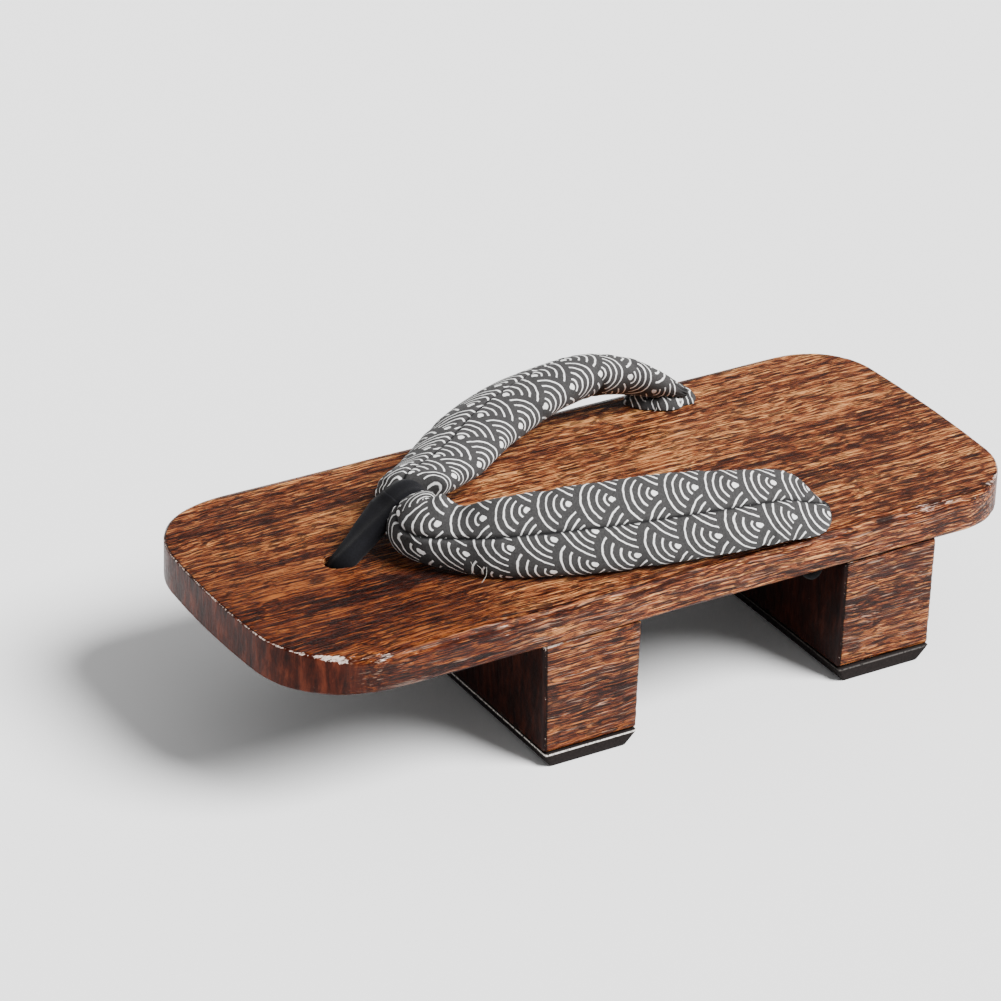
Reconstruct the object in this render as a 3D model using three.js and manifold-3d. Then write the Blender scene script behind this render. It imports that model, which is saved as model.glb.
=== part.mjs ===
// Geta sandal: a wooden deck on two teeth with rubber treads, and a padded cloth strap held by a toe thong.
// Millimetres, +Z up, toe towards -Y, heel towards +Y. The floor is z = 0 and the origin is under the
// middle of the deck.
import * as THREE from 'three';
import { mergeVertices } from 'three/addons/utils/BufferGeometryUtils.js';
import Module from 'manifold-3d';

const wasm = await Module();
wasm.setup();

// Deck
const deckLength = 260;
const deckWidth = 109.5;
const deckThick = 13;
const toeBow = 4.75;
const toeCorner = 29;
const heelBow = 3;
const heelCorner = 23.5;
const sideRoundTop = 4;
const sideRoundBottom = 2;
const endRound = 0.75;

// Teeth: where each starts and ends along the deck, and how far its front face leans
const toothHeight = 37.5;
const toothSideInset = 1.25;
const toothEdge = 0.75;
const frontTooth = { end: 'front', from: -45.25, to: -12.5, lean: 1.5 };
const rearTooth = { end: 'rear', from: 61.25, to: 95.5, lean: 0 };

// Rubber treads under the teeth
const treadThick = 4.5;
const treadSideInset = 0.75;
const treadHeelSlant = 4.5;
const treadToeRound = 2;

// Knots under the deck
const knotRadius = 5.5;
const knotHeight = 8;
const knotToTooth = 0.75;

// Holes through the deck: the front one's place is measured from the toe end
const toeToFrontHole = 43;
const frontHoleRadius = 4.5;
const rearHoleX = 41.5;
const rearHoleRadius = 4;
const rearSinkRadius = 6;
const rearSinkDepth = 4;

// Padded strap. The sections run from the toe thong to each rear hole.
// along: share of the way from the thong to the rear hole, out: share of the rear hole's X,
// lift: space under the pad as a share of padLift, wide and thick: shares of padWidth and padThick,
// lean: degrees that the pad's face turns outwards and down.
const thongToApex = 26;
const padWidth = 26;
const padThick = 13;
const padLift = 5;
const seamDepth = 0.9;
const padTip = 3;
const apexSection = { along: 0, out: 0, lift: 0.75, wide: 0.75, thick: 0.72, lean: 40 };
const nearSections = [
  { along: -0.04, out: 0.26, lift: 0.37, wide: 0.63, thick: 0.86, lean: 65 },
  { along: 0.06, out: 0.55, lift: 0.08, wide: 0.85, thick: 0.84, lean: 68 },
  { along: 0.19, out: 0.75, lift: 0.08, wide: 0.97, thick: 0.93, lean: 60 },
  { along: 0.37, out: 0.92, lift: 0.1, wide: 1.03, thick: 1.02, lean: 61 },
  { along: 0.54, out: 1.03, lift: 0.15, wide: 1.03, thick: 1.02, lean: 60 },
  { along: 0.71, out: 1.13, lift: 0.33, wide: 0.96, thick: 0.97, lean: 51 },
  { along: 0.85, out: 1.16, lift: 0.32, wide: 0.85, thick: 0.91, lean: 44 },
  { along: 0.95, out: 1.18, lift: 0.08, wide: 0.68, thick: 0.68, lean: 43 },
  { along: 1.02, out: 1.06, lift: 0.08, wide: 0.34, thick: 0.49, lean: 45 },
];
const farSections = [
  { along: 0.04, out: 0.16, lift: 0.56, wide: 0.84, thick: 0.84, lean: 31 },
  { along: 0.11, out: 0.36, lift: 0.67, wide: 0.93, thick: 0.88, lean: 18 },
  { along: 0.23, out: 0.57, lift: 0.76, wide: 1.02, thick: 0.94, lean: 8 },
  { along: 0.36, out: 0.81, lift: 0.95, wide: 1.03, thick: 1.03, lean: 8 },
  { along: 0.53, out: 0.98, lift: 1.2, wide: 1.03, thick: 1.11, lean: 13 },
  { along: 0.72, out: 1.08, lift: 1.25, wide: 0.98, thick: 1.08, lean: 27 },
  { along: 0.86, out: 1.08, lift: 0.88, wide: 0.86, thick: 0.93, lean: 31 },
  { along: 0.96, out: 1.03, lift: 0.36, wide: 0.67, thick: 0.71, lean: 30 },
  { along: 1.04, out: 0.98, lift: 0.08, wide: 0.43, thick: 0.39, lean: 22 },
];

// Cord tails of the strap, down through the rear holes
const tailRadius = 2.75;

// Toe thong: a flat cloth band looped round the waist of the strap, and its stem down to the front hole
const bandWidth = 9;
const bandThick = 3;
const waistWide = 11;
const waistThick = 8.5;
const loopForward = 1.5;
const stemWidth = 7;
const stemThick = 5;

// Gap between pieces that nearly touch
const gap = 0.3;

// Points round a section, and rings between two rows of the strap's tables
const sectionPoints = 24;
const ringsPerRow = 4;
const roundSides = 20;

const deckBottom = treadThick + toothHeight;
const deckTop = deckBottom + deckThick;
const frontHoleY = toeToFrontHole - deckLength / 2;
const rearHoleY = rearTooth.from - knotRadius - knotToTooth;
const apexY = frontHoleY + thongToApex;
const strapReach = rearHoleY - apexY;

const woodMaterial = new THREE.MeshStandardMaterial({ color: '#8a5a35', roughness: 0.42, metalness: 0 });
const darkWoodMaterial = new THREE.MeshStandardMaterial({ color: '#6b4028', roughness: 0.45, metalness: 0 });
const rubberMaterial = new THREE.MeshStandardMaterial({ color: '#2b2424', roughness: 0.8, metalness: 0 });
const padMaterial = new THREE.MeshStandardMaterial({ color: '#5b5d5f', roughness: 0.9, metalness: 0 });
const thongMaterial = new THREE.MeshStandardMaterial({ color: '#2a2b30', roughness: 0.85, metalness: 0 });

// Join rings of points into one closed surface. Each ring has as many points as the next, and the rings
// run so that their points turn anticlockwise seen from the last ring back towards the first.
function loft(rings, { closed = false } = {}) {
  const count = rings[0].length;
  const positions = rings.flat().flatMap((point) => [point.x, point.y, point.z]);
  const faces = [];
  const steps = closed ? rings.length : rings.length - 1;
  for (let ring = 0; ring < steps; ring += 1) {
    const here = ring * count;
    const there = ((ring + 1) % rings.length) * count;
    for (let i = 0; i < count; i += 1) {
      const next = (i + 1) % count;
      faces.push(here + i, here + next, there + next, here + i, there + next, there + i);
    }
  }
  if (!closed) {
    for (const [ring, turn] of [[0, false], [rings.length - 1, true]]) {
      const middle = new THREE.Vector3();
      rings[ring].forEach((point) => middle.addScaledVector(point, 1 / count));
      const centre = positions.length / 3;
      positions.push(middle.x, middle.y, middle.z);
      for (let i = 0; i < count; i += 1) {
        const a = ring * count + i;
        const b = ring * count + ((i + 1) % count);
        faces.push(...(turn ? [centre, a, b] : [centre, b, a]));
      }
    }
  }
  const geometry = new THREE.BufferGeometry();
  geometry.setAttribute('position', new THREE.Float32BufferAttribute(positions, 3));
  geometry.setIndex(faces);
  return geometry;
}

// A closed mesh as a solid for joining and cutting
function solid(geometry) {
  const bare = geometry.clone();
  bare.deleteAttribute('normal');
  bare.deleteAttribute('uv');
  const merged = mergeVertices(bare);
  return new wasm.Manifold(new wasm.Mesh({
    numProp: 3,
    vertProperties: new Float32Array(merged.attributes.position.array),
    triVerts: new Uint32Array(merged.index.array),
  }));
}

// A solid back as geometry, with its few vertices merged
function geometryOf(body) {
  const mesh = body.getMesh();
  const geometry = new THREE.BufferGeometry();
  geometry.setAttribute('position', new THREE.BufferAttribute(new Float32Array(mesh.vertProperties), 3));
  geometry.setIndex(new THREE.BufferAttribute(new Uint32Array(mesh.triVerts), 1));
  return geometry;
}

function piece(name, geometry, material) {
  geometry.computeVertexNormals();
  const mesh = new THREE.Mesh(geometry, material);
  mesh.name = name;
  return mesh;
}

// A round solid about an upright axis, from rows of height and radius that go upwards
function turned(x, y, rows) {
  const rings = rows.map(({ z, radius }) => Array.from({ length: roundSides }, (_, i) => {
    const angle = (2 * Math.PI * i) / roundSides;
    return new THREE.Vector3(x + radius * Math.cos(angle), y + radius * Math.sin(angle), z);
  }));
  return loft(rings);
}

// Half outline of the deck, x >= 0, from the middle of the toe to the middle of the heel. Each end is a
// shallow bow, with a round corner that runs smoothly from the bow into the straight side.
function deckHalf() {
  const half = deckWidth / 2;
  const endPoints = (side, bow, corner) => {
    const start = half - corner;
    const slope = (2 * bow * start) / half ** 2;
    const lean = Math.atan(slope);
    const radius = corner / (1 - Math.sin(lean));
    const cornerY = deckLength / 2 - bow * (start / half) ** 2 - radius * Math.cos(lean);
    const points = [];
    for (let i = 0; i <= 4; i += 1) {
      const x = (start * i) / 4;
      const tilt = Math.atan((2 * bow * x) / half ** 2);
      points.push({
        x,
        y: side * (deckLength / 2 - bow * (x / half) ** 2),
        normalX: Math.sin(tilt),
        normalY: side * Math.cos(tilt),
      });
    }
    for (let i = 1; i <= 9; i += 1) {
      const angle = (Math.PI / 2 - lean) * (1 - i / 9);
      points.push({
        x: half - radius + radius * Math.cos(angle),
        y: side * (cornerY + radius * Math.sin(angle)),
        normalX: Math.cos(angle),
        normalY: side * Math.sin(angle),
      });
    }
    return points;
  };
  return [...endPoints(-1, toeBow, toeCorner), ...endPoints(1, heelBow, heelCorner).reverse()];
}

function deckRing(z, sideInset, endInset) {
  const half = deckHalf();
  const mirrored = half.slice(1, -1).reverse().map((point) => ({ ...point, x: -point.x, normalX: -point.normalX }));
  return [...half, ...mirrored].map((point) => {
    const inset = endInset + (sideInset - endInset) * point.normalX ** 4;
    return new THREE.Vector3(point.x - inset * point.normalX, point.y - inset * point.normalY, z);
  });
}

// The deck's long sides are rounded over, most at the top, and its ends are cut square with a small chamfer
function deckBody() {
  const rings = [];
  const roundSteps = 4;
  for (let i = 0; i <= roundSteps; i += 1) {
    const angle = (Math.PI / 2) * (i / roundSteps);
    const fall = 1 - Math.sin(angle);
    rings.push(deckRing(
      deckBottom + sideRoundBottom * (1 - Math.cos(angle)),
      sideRoundBottom * fall,
      endRound * fall,
    ));
  }
  for (let i = 0; i <= roundSteps; i += 1) {
    const angle = (Math.PI / 2) * (i / roundSteps);
    const fall = 1 - Math.cos(angle);
    rings.push(deckRing(
      deckTop - sideRoundTop * (1 - Math.sin(angle)),
      sideRoundTop * fall,
      endRound * fall,
    ));
  }
  return solid(loft(rings));
}

function deckHoles() {
  const through = (x, y, radius) => turned(x, y, [
    { z: deckBottom - 1, radius },
    { z: deckTop + 1, radius },
  ]);
  const sink = (x) => turned(x, rearHoleY, [
    { z: deckTop - rearSinkDepth, radius: rearHoleRadius },
    { z: deckTop, radius: rearSinkRadius },
    { z: deckTop + 1, radius: rearSinkRadius },
  ]);
  return [
    through(0, frontHoleY, frontHoleRadius),
    through(-rearHoleX, rearHoleY, rearHoleRadius),
    through(rearHoleX, rearHoleY, rearHoleRadius),
    sink(-rearHoleX),
    sink(rearHoleX),
  ];
}

function deckGeometry() {
  const holes = [...deckHoles().map(solid), tailBody(-1, gap), tailBody(1, gap)];
  return geometryOf(holes.reduce((body, hole) => body.subtract(hole), deckBody()));
}

// A bar across the shoe from an outline in Y and Z
function crossBar(outline, width, edge) {
  const shape = new THREE.Shape(outline.map(([y, z]) => new THREE.Vector2(y, z)));
  const geometry = new THREE.ExtrudeGeometry(shape, {
    depth: width - 2 * edge,
    bevelEnabled: edge > 0,
    bevelThickness: edge,
    bevelSize: edge,
    bevelOffset: -edge,
    bevelSegments: 1,
  });
  geometry.translate(0, 0, edge - width / 2);
  const alongY = new THREE.Vector3(0, 1, 0);
  const alongZ = new THREE.Vector3(0, 0, 1);
  const alongX = new THREE.Vector3(1, 0, 0);
  geometry.applyMatrix4(new THREE.Matrix4().makeBasis(alongY, alongZ, alongX));
  return geometryOf(solid(geometry));
}

function toothGeometry({ from, to, lean }) {
  return crossBar([
    [from, treadThick],
    [to, treadThick],
    [to, deckBottom],
    [from - lean, deckBottom],
  ], deckWidth - 2 * toothSideInset, toothEdge);
}

function treadGeometry({ from, to }) {
  const outline = [[from, treadThick]];
  for (let i = 0; i <= 4; i += 1) {
    const angle = (Math.PI / 2) * (i / 4);
    outline.push([from + treadToeRound * (1 - Math.cos(angle)), treadToeRound * (1 - Math.sin(angle))]);
  }
  outline.push([to - treadHeelSlant, 0], [to, treadThick]);
  return crossBar(outline, deckWidth - 2 * treadSideInset, 0);
}

// Smooth value between rows of a table, at a row number that need not be whole
function between(values, at) {
  const row = Math.min(Math.floor(at), values.length - 2);
  const k = at - row;
  const p1 = values[row];
  const p2 = values[row + 1];
  const p0 = row > 0 ? values[row - 1] : 2 * p1 - p2;
  const p3 = row + 2 < values.length ? values[row + 2] : 2 * p2 - p1;
  const bend = 2 * p0 - 5 * p1 + 4 * p2 - p3;
  const twist = 3 * p1 - p0 - 3 * p2 + p3;
  return 0.5 * (2 * p1 + (p2 - p0) * k + bend * k * k + twist * k ** 3);
}

// The strap's rows from the far rear hole through the apex to the near rear hole
const strapRows = [
  ...farSections.map((row) => ({ ...row, out: -row.out })).reverse(),
  apexSection,
  ...nearSections,
];
const apexRow = farSections.length;
const lastRow = strapRows.length - 1;

function strapValue(name, at) {
  return between(strapRows.map((row) => row[name]), at);
}

function strapCentre(at) {
  const halfWide = (padWidth * strapValue('wide', at)) / 2;
  const halfThick = (padThick * strapValue('thick', at)) / 2;
  const lean = THREE.MathUtils.degToRad(strapValue('lean', at));
  const halfHigh = Math.hypot(halfWide * Math.sin(lean), halfThick * Math.cos(lean));
  return new THREE.Vector3(
    rearHoleX * strapValue('out', at),
    apexY + strapReach * strapValue('along', at),
    deckTop + padLift * strapValue('lift', at) + halfHigh,
  );
}

// Place and axes of one section: wide points to the pad's outer lower edge, face out of its outer side
function strapSection(at) {
  const step = 0.01;
  const centre = strapCentre(at);
  const ahead = strapCentre(Math.min(at + step, lastRow));
  const along = ahead.sub(strapCentre(Math.max(at - step, 0))).normalize();
  const side = new THREE.Vector3(along.y, -along.x, 0).normalize();
  const up = new THREE.Vector3().crossVectors(side, along);
  const lean = THREE.MathUtils.degToRad(strapValue('lean', at));
  return {
    centre,
    along,
    wide: side.clone().multiplyScalar(Math.cos(lean)).addScaledVector(up, -Math.sin(lean)),
    face: side.clone().multiplyScalar(Math.sin(lean)).addScaledVector(up, Math.cos(lean)),
    halfWide: (padWidth * strapValue('wide', at)) / 2,
    halfThick: (padThick * strapValue('thick', at)) / 2,
  };
}

// One ring of the padded strap: an oval with a seam pressed into the middle of its face
function padRing(section, size, forward) {
  const { centre, along, wide, face, halfWide, halfThick } = section;
  return Array.from({ length: sectionPoints }, (_, i) => {
    const angle = (-2 * Math.PI * i) / sectionPoints;
    const seam = Math.sin(angle) > 0.999 ? seamDepth * size : 0;
    return centre.clone()
      .addScaledVector(along, forward)
      .addScaledVector(wide, size * halfWide * Math.cos(angle))
      .addScaledVector(face, size * halfThick * Math.sin(angle) - seam);
  });
}

function padBody() {
  const rings = [];
  const tipShares = [0.95, 0.75, 0.4];
  const first = strapSection(0);
  const last = strapSection(lastRow);
  tipShares.forEach((share) => rings.push(padRing(first, Math.sqrt(1 - share ** 2), -padTip * share)));
  for (let i = 0; i <= lastRow * ringsPerRow; i += 1) {
    rings.push(padRing(strapSection(i / ringsPerRow), 1, 0));
  }
  [...tipShares].reverse().forEach((share) => {
    rings.push(padRing(last, Math.sqrt(1 - share ** 2), padTip * share));
  });
  return solid(loft(rings));
}

// A knot under the deck, with two turns of cord that show as rolls
function knotBody(x, y) {
  const top = deckBottom - gap;
  const rows = [
    { drop: 1, size: 0.55 },
    { drop: 0.88, size: 0.9 },
    { drop: 0.72, size: 1 },
    { drop: 0.55, size: 0.86 },
    { drop: 0.38, size: 0.98 },
    { drop: 0.18, size: 0.9 },
    { drop: 0, size: 0.6 },
  ];
  return solid(turned(x, y, rows.map(({ drop, size }) => ({
    z: top - knotHeight * drop,
    radius: knotRadius * size,
  }))));
}

// The cord tail of one side: out of the pad's end, over the rim and down through the rear hole. It can be
// made swollen, to cut its way through the deck.
function tailBody(side, swell) {
  const end = strapCentre(side > 0 ? lastRow : 0);
  const inside = strapCentre(side > 0 ? lastRow - 1 : 1);
  const x = side * rearHoleX;
  const path = new THREE.CatmullRomCurve3([
    inside,
    end,
    new THREE.Vector3((end.x + x) / 2, (end.y + rearHoleY) / 2 + tailRadius / 3, deckTop + gap),
    new THREE.Vector3(x, rearHoleY + tailRadius / 6, deckTop - rearSinkDepth),
    new THREE.Vector3(x, rearHoleY, deckTop - 2 * rearSinkDepth),
    new THREE.Vector3(x, rearHoleY, deckBottom),
    new THREE.Vector3(x, rearHoleY, deckBottom - knotHeight / 2),
  ], false, 'centripetal');
  const circle = new THREE.Shape(Array.from({ length: 12 }, (_, i) => {
    const angle = (2 * Math.PI * i) / 12;
    return new THREE.Vector2((tailRadius + swell) * Math.cos(angle), (tailRadius + swell) * Math.sin(angle));
  }));
  return solid(new THREE.ExtrudeGeometry(circle, { steps: 24, extrudePath: path }));
}

// A flat band of cloth with rounded edges, across X, along a path in the Y-Z plane
function bandRing(centre, tangent, width, thick) {
  const across = new THREE.Vector3(1, 0, 0);
  const out = new THREE.Vector3().crossVectors(tangent, across).normalize();
  const power = 0.7;
  const rounded = (value) => Math.sign(value) * Math.abs(value) ** power;
  const count = 16;
  return Array.from({ length: count }, (_, i) => {
    const angle = (2 * Math.PI * i) / count;
    return centre.clone()
      .addScaledVector(across, (width / 2) * rounded(Math.cos(angle)))
      .addScaledVector(out, (thick / 2) * rounded(Math.sin(angle)));
  });
}

// Place and axes of the strap's waist, upright in the plane X = 0
function waistSection() {
  const lean = THREE.MathUtils.degToRad(apexSection.lean);
  return {
    centre: strapCentre(apexRow),
    wide: new THREE.Vector3(0, -Math.cos(lean), -Math.sin(lean)),
    face: new THREE.Vector3(0, -Math.sin(lean), Math.cos(lean)),
  };
}

// The thong's loop round the waist of the strap. It can be made swollen, to cut its channel.
function loopBody(swell) {
  const section = waistSection();
  const centre = section.centre.clone().addScaledVector(section.wide, loopForward);
  const wideRadius = (waistWide + bandThick) / 2;
  const faceRadius = (waistThick + bandThick) / 2;
  const steps = 28;
  const rings = Array.from({ length: steps }, (_, i) => {
    const angle = (-2 * Math.PI * i) / steps;
    const point = centre.clone()
      .addScaledVector(section.wide, wideRadius * Math.cos(angle))
      .addScaledVector(section.face, faceRadius * Math.sin(angle));
    const tangent = section.wide.clone().multiplyScalar(wideRadius * Math.sin(angle))
      .addScaledVector(section.face, -faceRadius * Math.cos(angle));
    return bandRing(point, tangent, bandWidth + 2 * swell, bandThick + 2 * swell);
  });
  return solid(loft(rings, { closed: true }));
}

// The thong's stem: from the front of the loop down to the front hole and through the deck. It can be made
// swollen, to clear the lobes of the strap beside it.
function stemBody(swell) {
  const section = waistSection();
  const loopFront = section.centre.clone()
    .addScaledVector(section.wide, loopForward + waistWide / 2)
    .addScaledVector(section.face, waistThick / 2);
  const path = new THREE.CatmullRomCurve3([
    loopFront,
    new THREE.Vector3(0, (loopFront.y + frontHoleY) / 2 - stemThick / 2, (loopFront.z + deckTop) / 2),
    new THREE.Vector3(0, frontHoleY + stemThick / 4, deckTop + stemThick / 4),
    new THREE.Vector3(0, frontHoleY, deckTop - deckThick / 3),
    new THREE.Vector3(0, frontHoleY, deckBottom - knotHeight / 2),
  ], false, 'centripetal');
  const steps = 18;
  const rings = Array.from({ length: steps + 1 }, (_, i) => {
    const share = i / steps;
    const narrow = Math.min(1, share * 1.8);
    return bandRing(
      path.getPointAt(share),
      path.getTangentAt(share),
      THREE.MathUtils.lerp(bandWidth, stemWidth, narrow) + 2 * swell,
      THREE.MathUtils.lerp(bandThick, stemThick, narrow) + 2 * swell,
    );
  });
  return solid(loft(rings));
}

function strapGeometry() {
  const whole = [-1, 1].reduce(
    (body, side) => body.add(tailBody(side, 0)).add(knotBody(side * rearHoleX, rearHoleY)),
    padBody(),
  );
  return geometryOf(whole.subtract(loopBody(gap)).subtract(stemBody(gap)));
}

function thongGeometry() {
  return geometryOf(loopBody(0).add(stemBody(0)).add(knotBody(0, frontHoleY)));
}

const group = new THREE.Group();
group.add(piece('deck', deckGeometry(), woodMaterial));
for (const tooth of [frontTooth, rearTooth]) {
  group.add(piece(`tooth_${tooth.end}`, toothGeometry(tooth), darkWoodMaterial));
  group.add(piece(`tread_${tooth.end}`, treadGeometry(tooth), rubberMaterial));
}
group.add(piece('strap', strapGeometry(), padMaterial));
group.add(piece('thong', thongGeometry(), thongMaterial));

export default group;
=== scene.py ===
# Geta sandal: the looks of the wooden deck and teeth, the rubber treads, the padded strap and the toe thong.
# Tables are in millimetres, +Z up, toe towards -Y, and meshes are made in metres.
import math

import bpy
import numpy as np
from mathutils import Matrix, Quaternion, Vector, noise


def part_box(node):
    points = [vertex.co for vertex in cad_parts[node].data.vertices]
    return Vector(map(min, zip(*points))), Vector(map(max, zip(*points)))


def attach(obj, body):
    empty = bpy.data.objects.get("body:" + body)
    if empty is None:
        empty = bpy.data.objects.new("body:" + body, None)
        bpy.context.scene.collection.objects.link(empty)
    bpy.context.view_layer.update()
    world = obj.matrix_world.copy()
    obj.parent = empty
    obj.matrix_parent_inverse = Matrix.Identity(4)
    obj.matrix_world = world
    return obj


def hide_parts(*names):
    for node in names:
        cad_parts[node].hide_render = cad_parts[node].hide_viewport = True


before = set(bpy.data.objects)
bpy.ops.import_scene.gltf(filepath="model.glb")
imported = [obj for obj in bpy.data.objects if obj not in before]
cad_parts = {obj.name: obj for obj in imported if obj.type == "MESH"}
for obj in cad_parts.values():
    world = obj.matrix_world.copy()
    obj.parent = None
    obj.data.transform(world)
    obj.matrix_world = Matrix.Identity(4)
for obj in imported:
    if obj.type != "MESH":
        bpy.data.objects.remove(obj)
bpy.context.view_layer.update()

MM = 0.001


def box_mm(node):
    """Lowest and highest corner of a node, in millimetres."""
    low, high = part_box(node)
    return np.array(low) / MM, np.array(high) / MM


# Deck, from the frame and from the roundings that shape it
deck_low, deck_high = box_mm("deck")
DECK_LENGTH = deck_high[1] - deck_low[1]
DECK_HALF = deck_high[0]
DECK_BOTTOM = deck_low[2]
DECK_TOP = deck_high[2]
TOE_BOW = 4.75
TOE_CORNER = 29
HEEL_BOW = 3
HEEL_CORNER = 23.5
SIDE_ROUND_TOP = 4
SIDE_ROUND_BOTTOM = 2
END_ROUND = 0.75

# Places on the rounded top edge of the +X side that are worn and carry a painted highlight, and dented
# places: middle along Y, half length and strength
PLACE_COLUMNS = ("middle", "reach", "strength")
WORN_AND_SHINING_PLACES = (
    (-116, 3, 0.35),
    (-104, 8, 0.35),
    (-66, 26, 0.2),
    (50, 16, 0.25),
    (97, 14, 0.35),
)
DENTED_PLACES = (
    (-89, 6, 0.5),
    (75, 6, 0.7),
)
# Wear and painted highlight along all the top edges, and the higher share along the toe and heel ends
EDGE_WEAR_AND_HIGHLIGHT = 0.12
END_EDGE_WEAR_AND_HIGHLIGHT = 0.68

# Holes through the deck
FRONT_HOLE_Y = -87
FRONT_HOLE_RADIUS = 4.5
REAR_HOLE_X = 41.5
REAR_HOLE_Y = 55
REAR_HOLE_RADIUS = 4
REAR_SINK_RADIUS = 6
REAR_SINK_DEPTH = 4

# Teeth and treads
TOOTH_LEAN = {"front": 1.5, "rear": 0}
TOOTH_ROUND = 1
TREAD_HEEL_SLANT = 4.5
TREAD_TOE_ROUND = 2
TREAD_ROUND = 0.4
TREAD_TOP = box_mm("tread_front")[1][2]
GLUE_LINE = 0.8
GLUE_STRENGTH = {"front": 1.0, "rear": 0.08}

# Padded strap: the same sections as the solid's
THONG_TO_APEX = 26
PAD_WIDTH = 26
PAD_THICK = 13
PAD_LIFT = 5
PAD_TIP = 3
COLUMNS = ("along", "out", "lift", "wide", "thick", "lean")
APEX_SECTION = (0, 0, 0.75, 0.75, 0.72, 40)
NEAR_SECTIONS = (
    (-0.04, 0.26, 0.37, 0.63, 0.86, 65),
    (0.06, 0.55, 0.08, 0.85, 0.84, 68),
    (0.19, 0.75, 0.08, 0.97, 0.93, 60),
    (0.37, 0.92, 0.1, 1.03, 1.02, 61),
    (0.54, 1.03, 0.15, 1.03, 1.02, 60),
    (0.71, 1.13, 0.33, 0.96, 0.97, 51),
    (0.85, 1.16, 0.32, 0.85, 0.91, 44),
    (0.95, 1.18, 0.08, 0.68, 0.68, 43),
    (1.02, 1.07, 0.06, 0.28, 0.32, 45),
)
FAR_SECTIONS = (
    (0.04, 0.16, 0.56, 0.84, 0.84, 31),
    (0.11, 0.36, 0.67, 0.93, 0.88, 18),
    (0.23, 0.57, 0.76, 1.02, 0.94, 8),
    (0.36, 0.81, 0.95, 1.03, 1.03, 8),
    (0.53, 0.98, 1.2, 1.03, 1.11, 13),
    (0.72, 1.08, 1.25, 0.98, 1.08, 27),
    (0.86, 1.08, 0.88, 0.86, 0.93, 31),
    (0.96, 1.03, 0.36, 0.67, 0.71, 30),
    (1.04, 0.98, 0.08, 0.43, 0.39, 22),
)
APEX_Y = FRONT_HOLE_Y + THONG_TO_APEX
STRAP_REACH = REAR_HOLE_Y - APEX_Y
TAIL_RADIUS = 2.75

# How far the filling bulges towards the toe beside the thong, about where across the shoe and how widely
APEX_PUSH = 3
APEX_PUSH_SIDE = -8
APEX_PUSH_REACH = 14

# Toe thong, with the width and thickness of its stem at shares of its length
BAND_WIDTH = 9
BAND_THICK = 3
WAIST_WIDE = 11
WAIST_THICK = 8.5
LOOP_FORWARD = 1.5
LOOP_SIDE = -5
LOOP_WIDTH = 9.5
STEM_WIDTHS = ((0, 9), (0.12, 12), (0.3, 10.5), (0.45, 8.8), (0.62, 7.4), (1, 6.5))
STEM_THICKS = ((0, 1.5), (0.12, 4.5), (0.3, 5.6), (0.5, 5.8), (0.62, 6), (1, 5))

# Knots under the deck
KNOT_RADIUS = 5.5
KNOT_HEIGHT = 8
KNOT_CORD = 1.7
KNOT_RINGS = 96

# Room between the strap and what it lies on or passes under
GAP = 0.3

# Camera, as the photograph was taken
VIEW_AZIMUTH = 57.81
VIEW_ELEVATION = 28.49
VIEW_ROLL = 2.17
VIEW_DISTANCE = 1454.7
VIEW_TARGET = (-48.74, 0.18, 30)
VIEW_LENS = 165.3
SENSOR = 36


def new_object(name, points, faces, material, smooth=True):
    """A mesh object from points in millimetres."""
    mesh = bpy.data.meshes.new(name)
    mesh.from_pydata((np.asarray(points, float) * MM).tolist(), [], [list(map(int, face)) for face in faces])
    mesh.materials.append(material)
    mesh.polygons.foreach_set("use_smooth", [smooth] * len(mesh.polygons))
    mesh.update()
    obj = bpy.data.objects.new(name, mesh)
    bpy.context.scene.collection.objects.link(obj)
    return obj


def point_value(obj, name, values):
    """A number for each point, which the material reads."""
    attribute = obj.data.attributes.new(name, "FLOAT", "POINT")
    attribute.data.foreach_set("value", np.asarray(values, np.float32))


def settle(obj):
    """Replaces an object's mesh by what its modifiers make of it."""
    graph = bpy.context.evaluated_depsgraph_get()
    made = bpy.data.meshes.new_from_object(obj.evaluated_get(graph))
    obj.modifiers.clear()
    obj.data = made


def smooth_step(value, start, end):
    """0 before start, 1 after end, and a smooth rise between them."""
    t = np.clip((value - start) / (end - start), 0, 1)
    return t * t * (3 - 2 * t)


def full_turn(count):
    """Angles evenly round a circle."""
    return np.linspace(0, 2 * math.pi, count, endpoint=False)


def walked(path):
    """Distance along a path to each of its points."""
    return np.concatenate([[0], np.cumsum(np.linalg.norm(np.diff(path, axis=0), axis=1))])


def noise_at(points, scale, seed=0.0):
    """Smooth noise from -1 to 1 at each point, with the points multiplied by scale."""
    scaled = np.asarray(points, float) * scale + seed
    return np.array([noise.noise(Vector(point)) for point in scaled])


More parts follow.
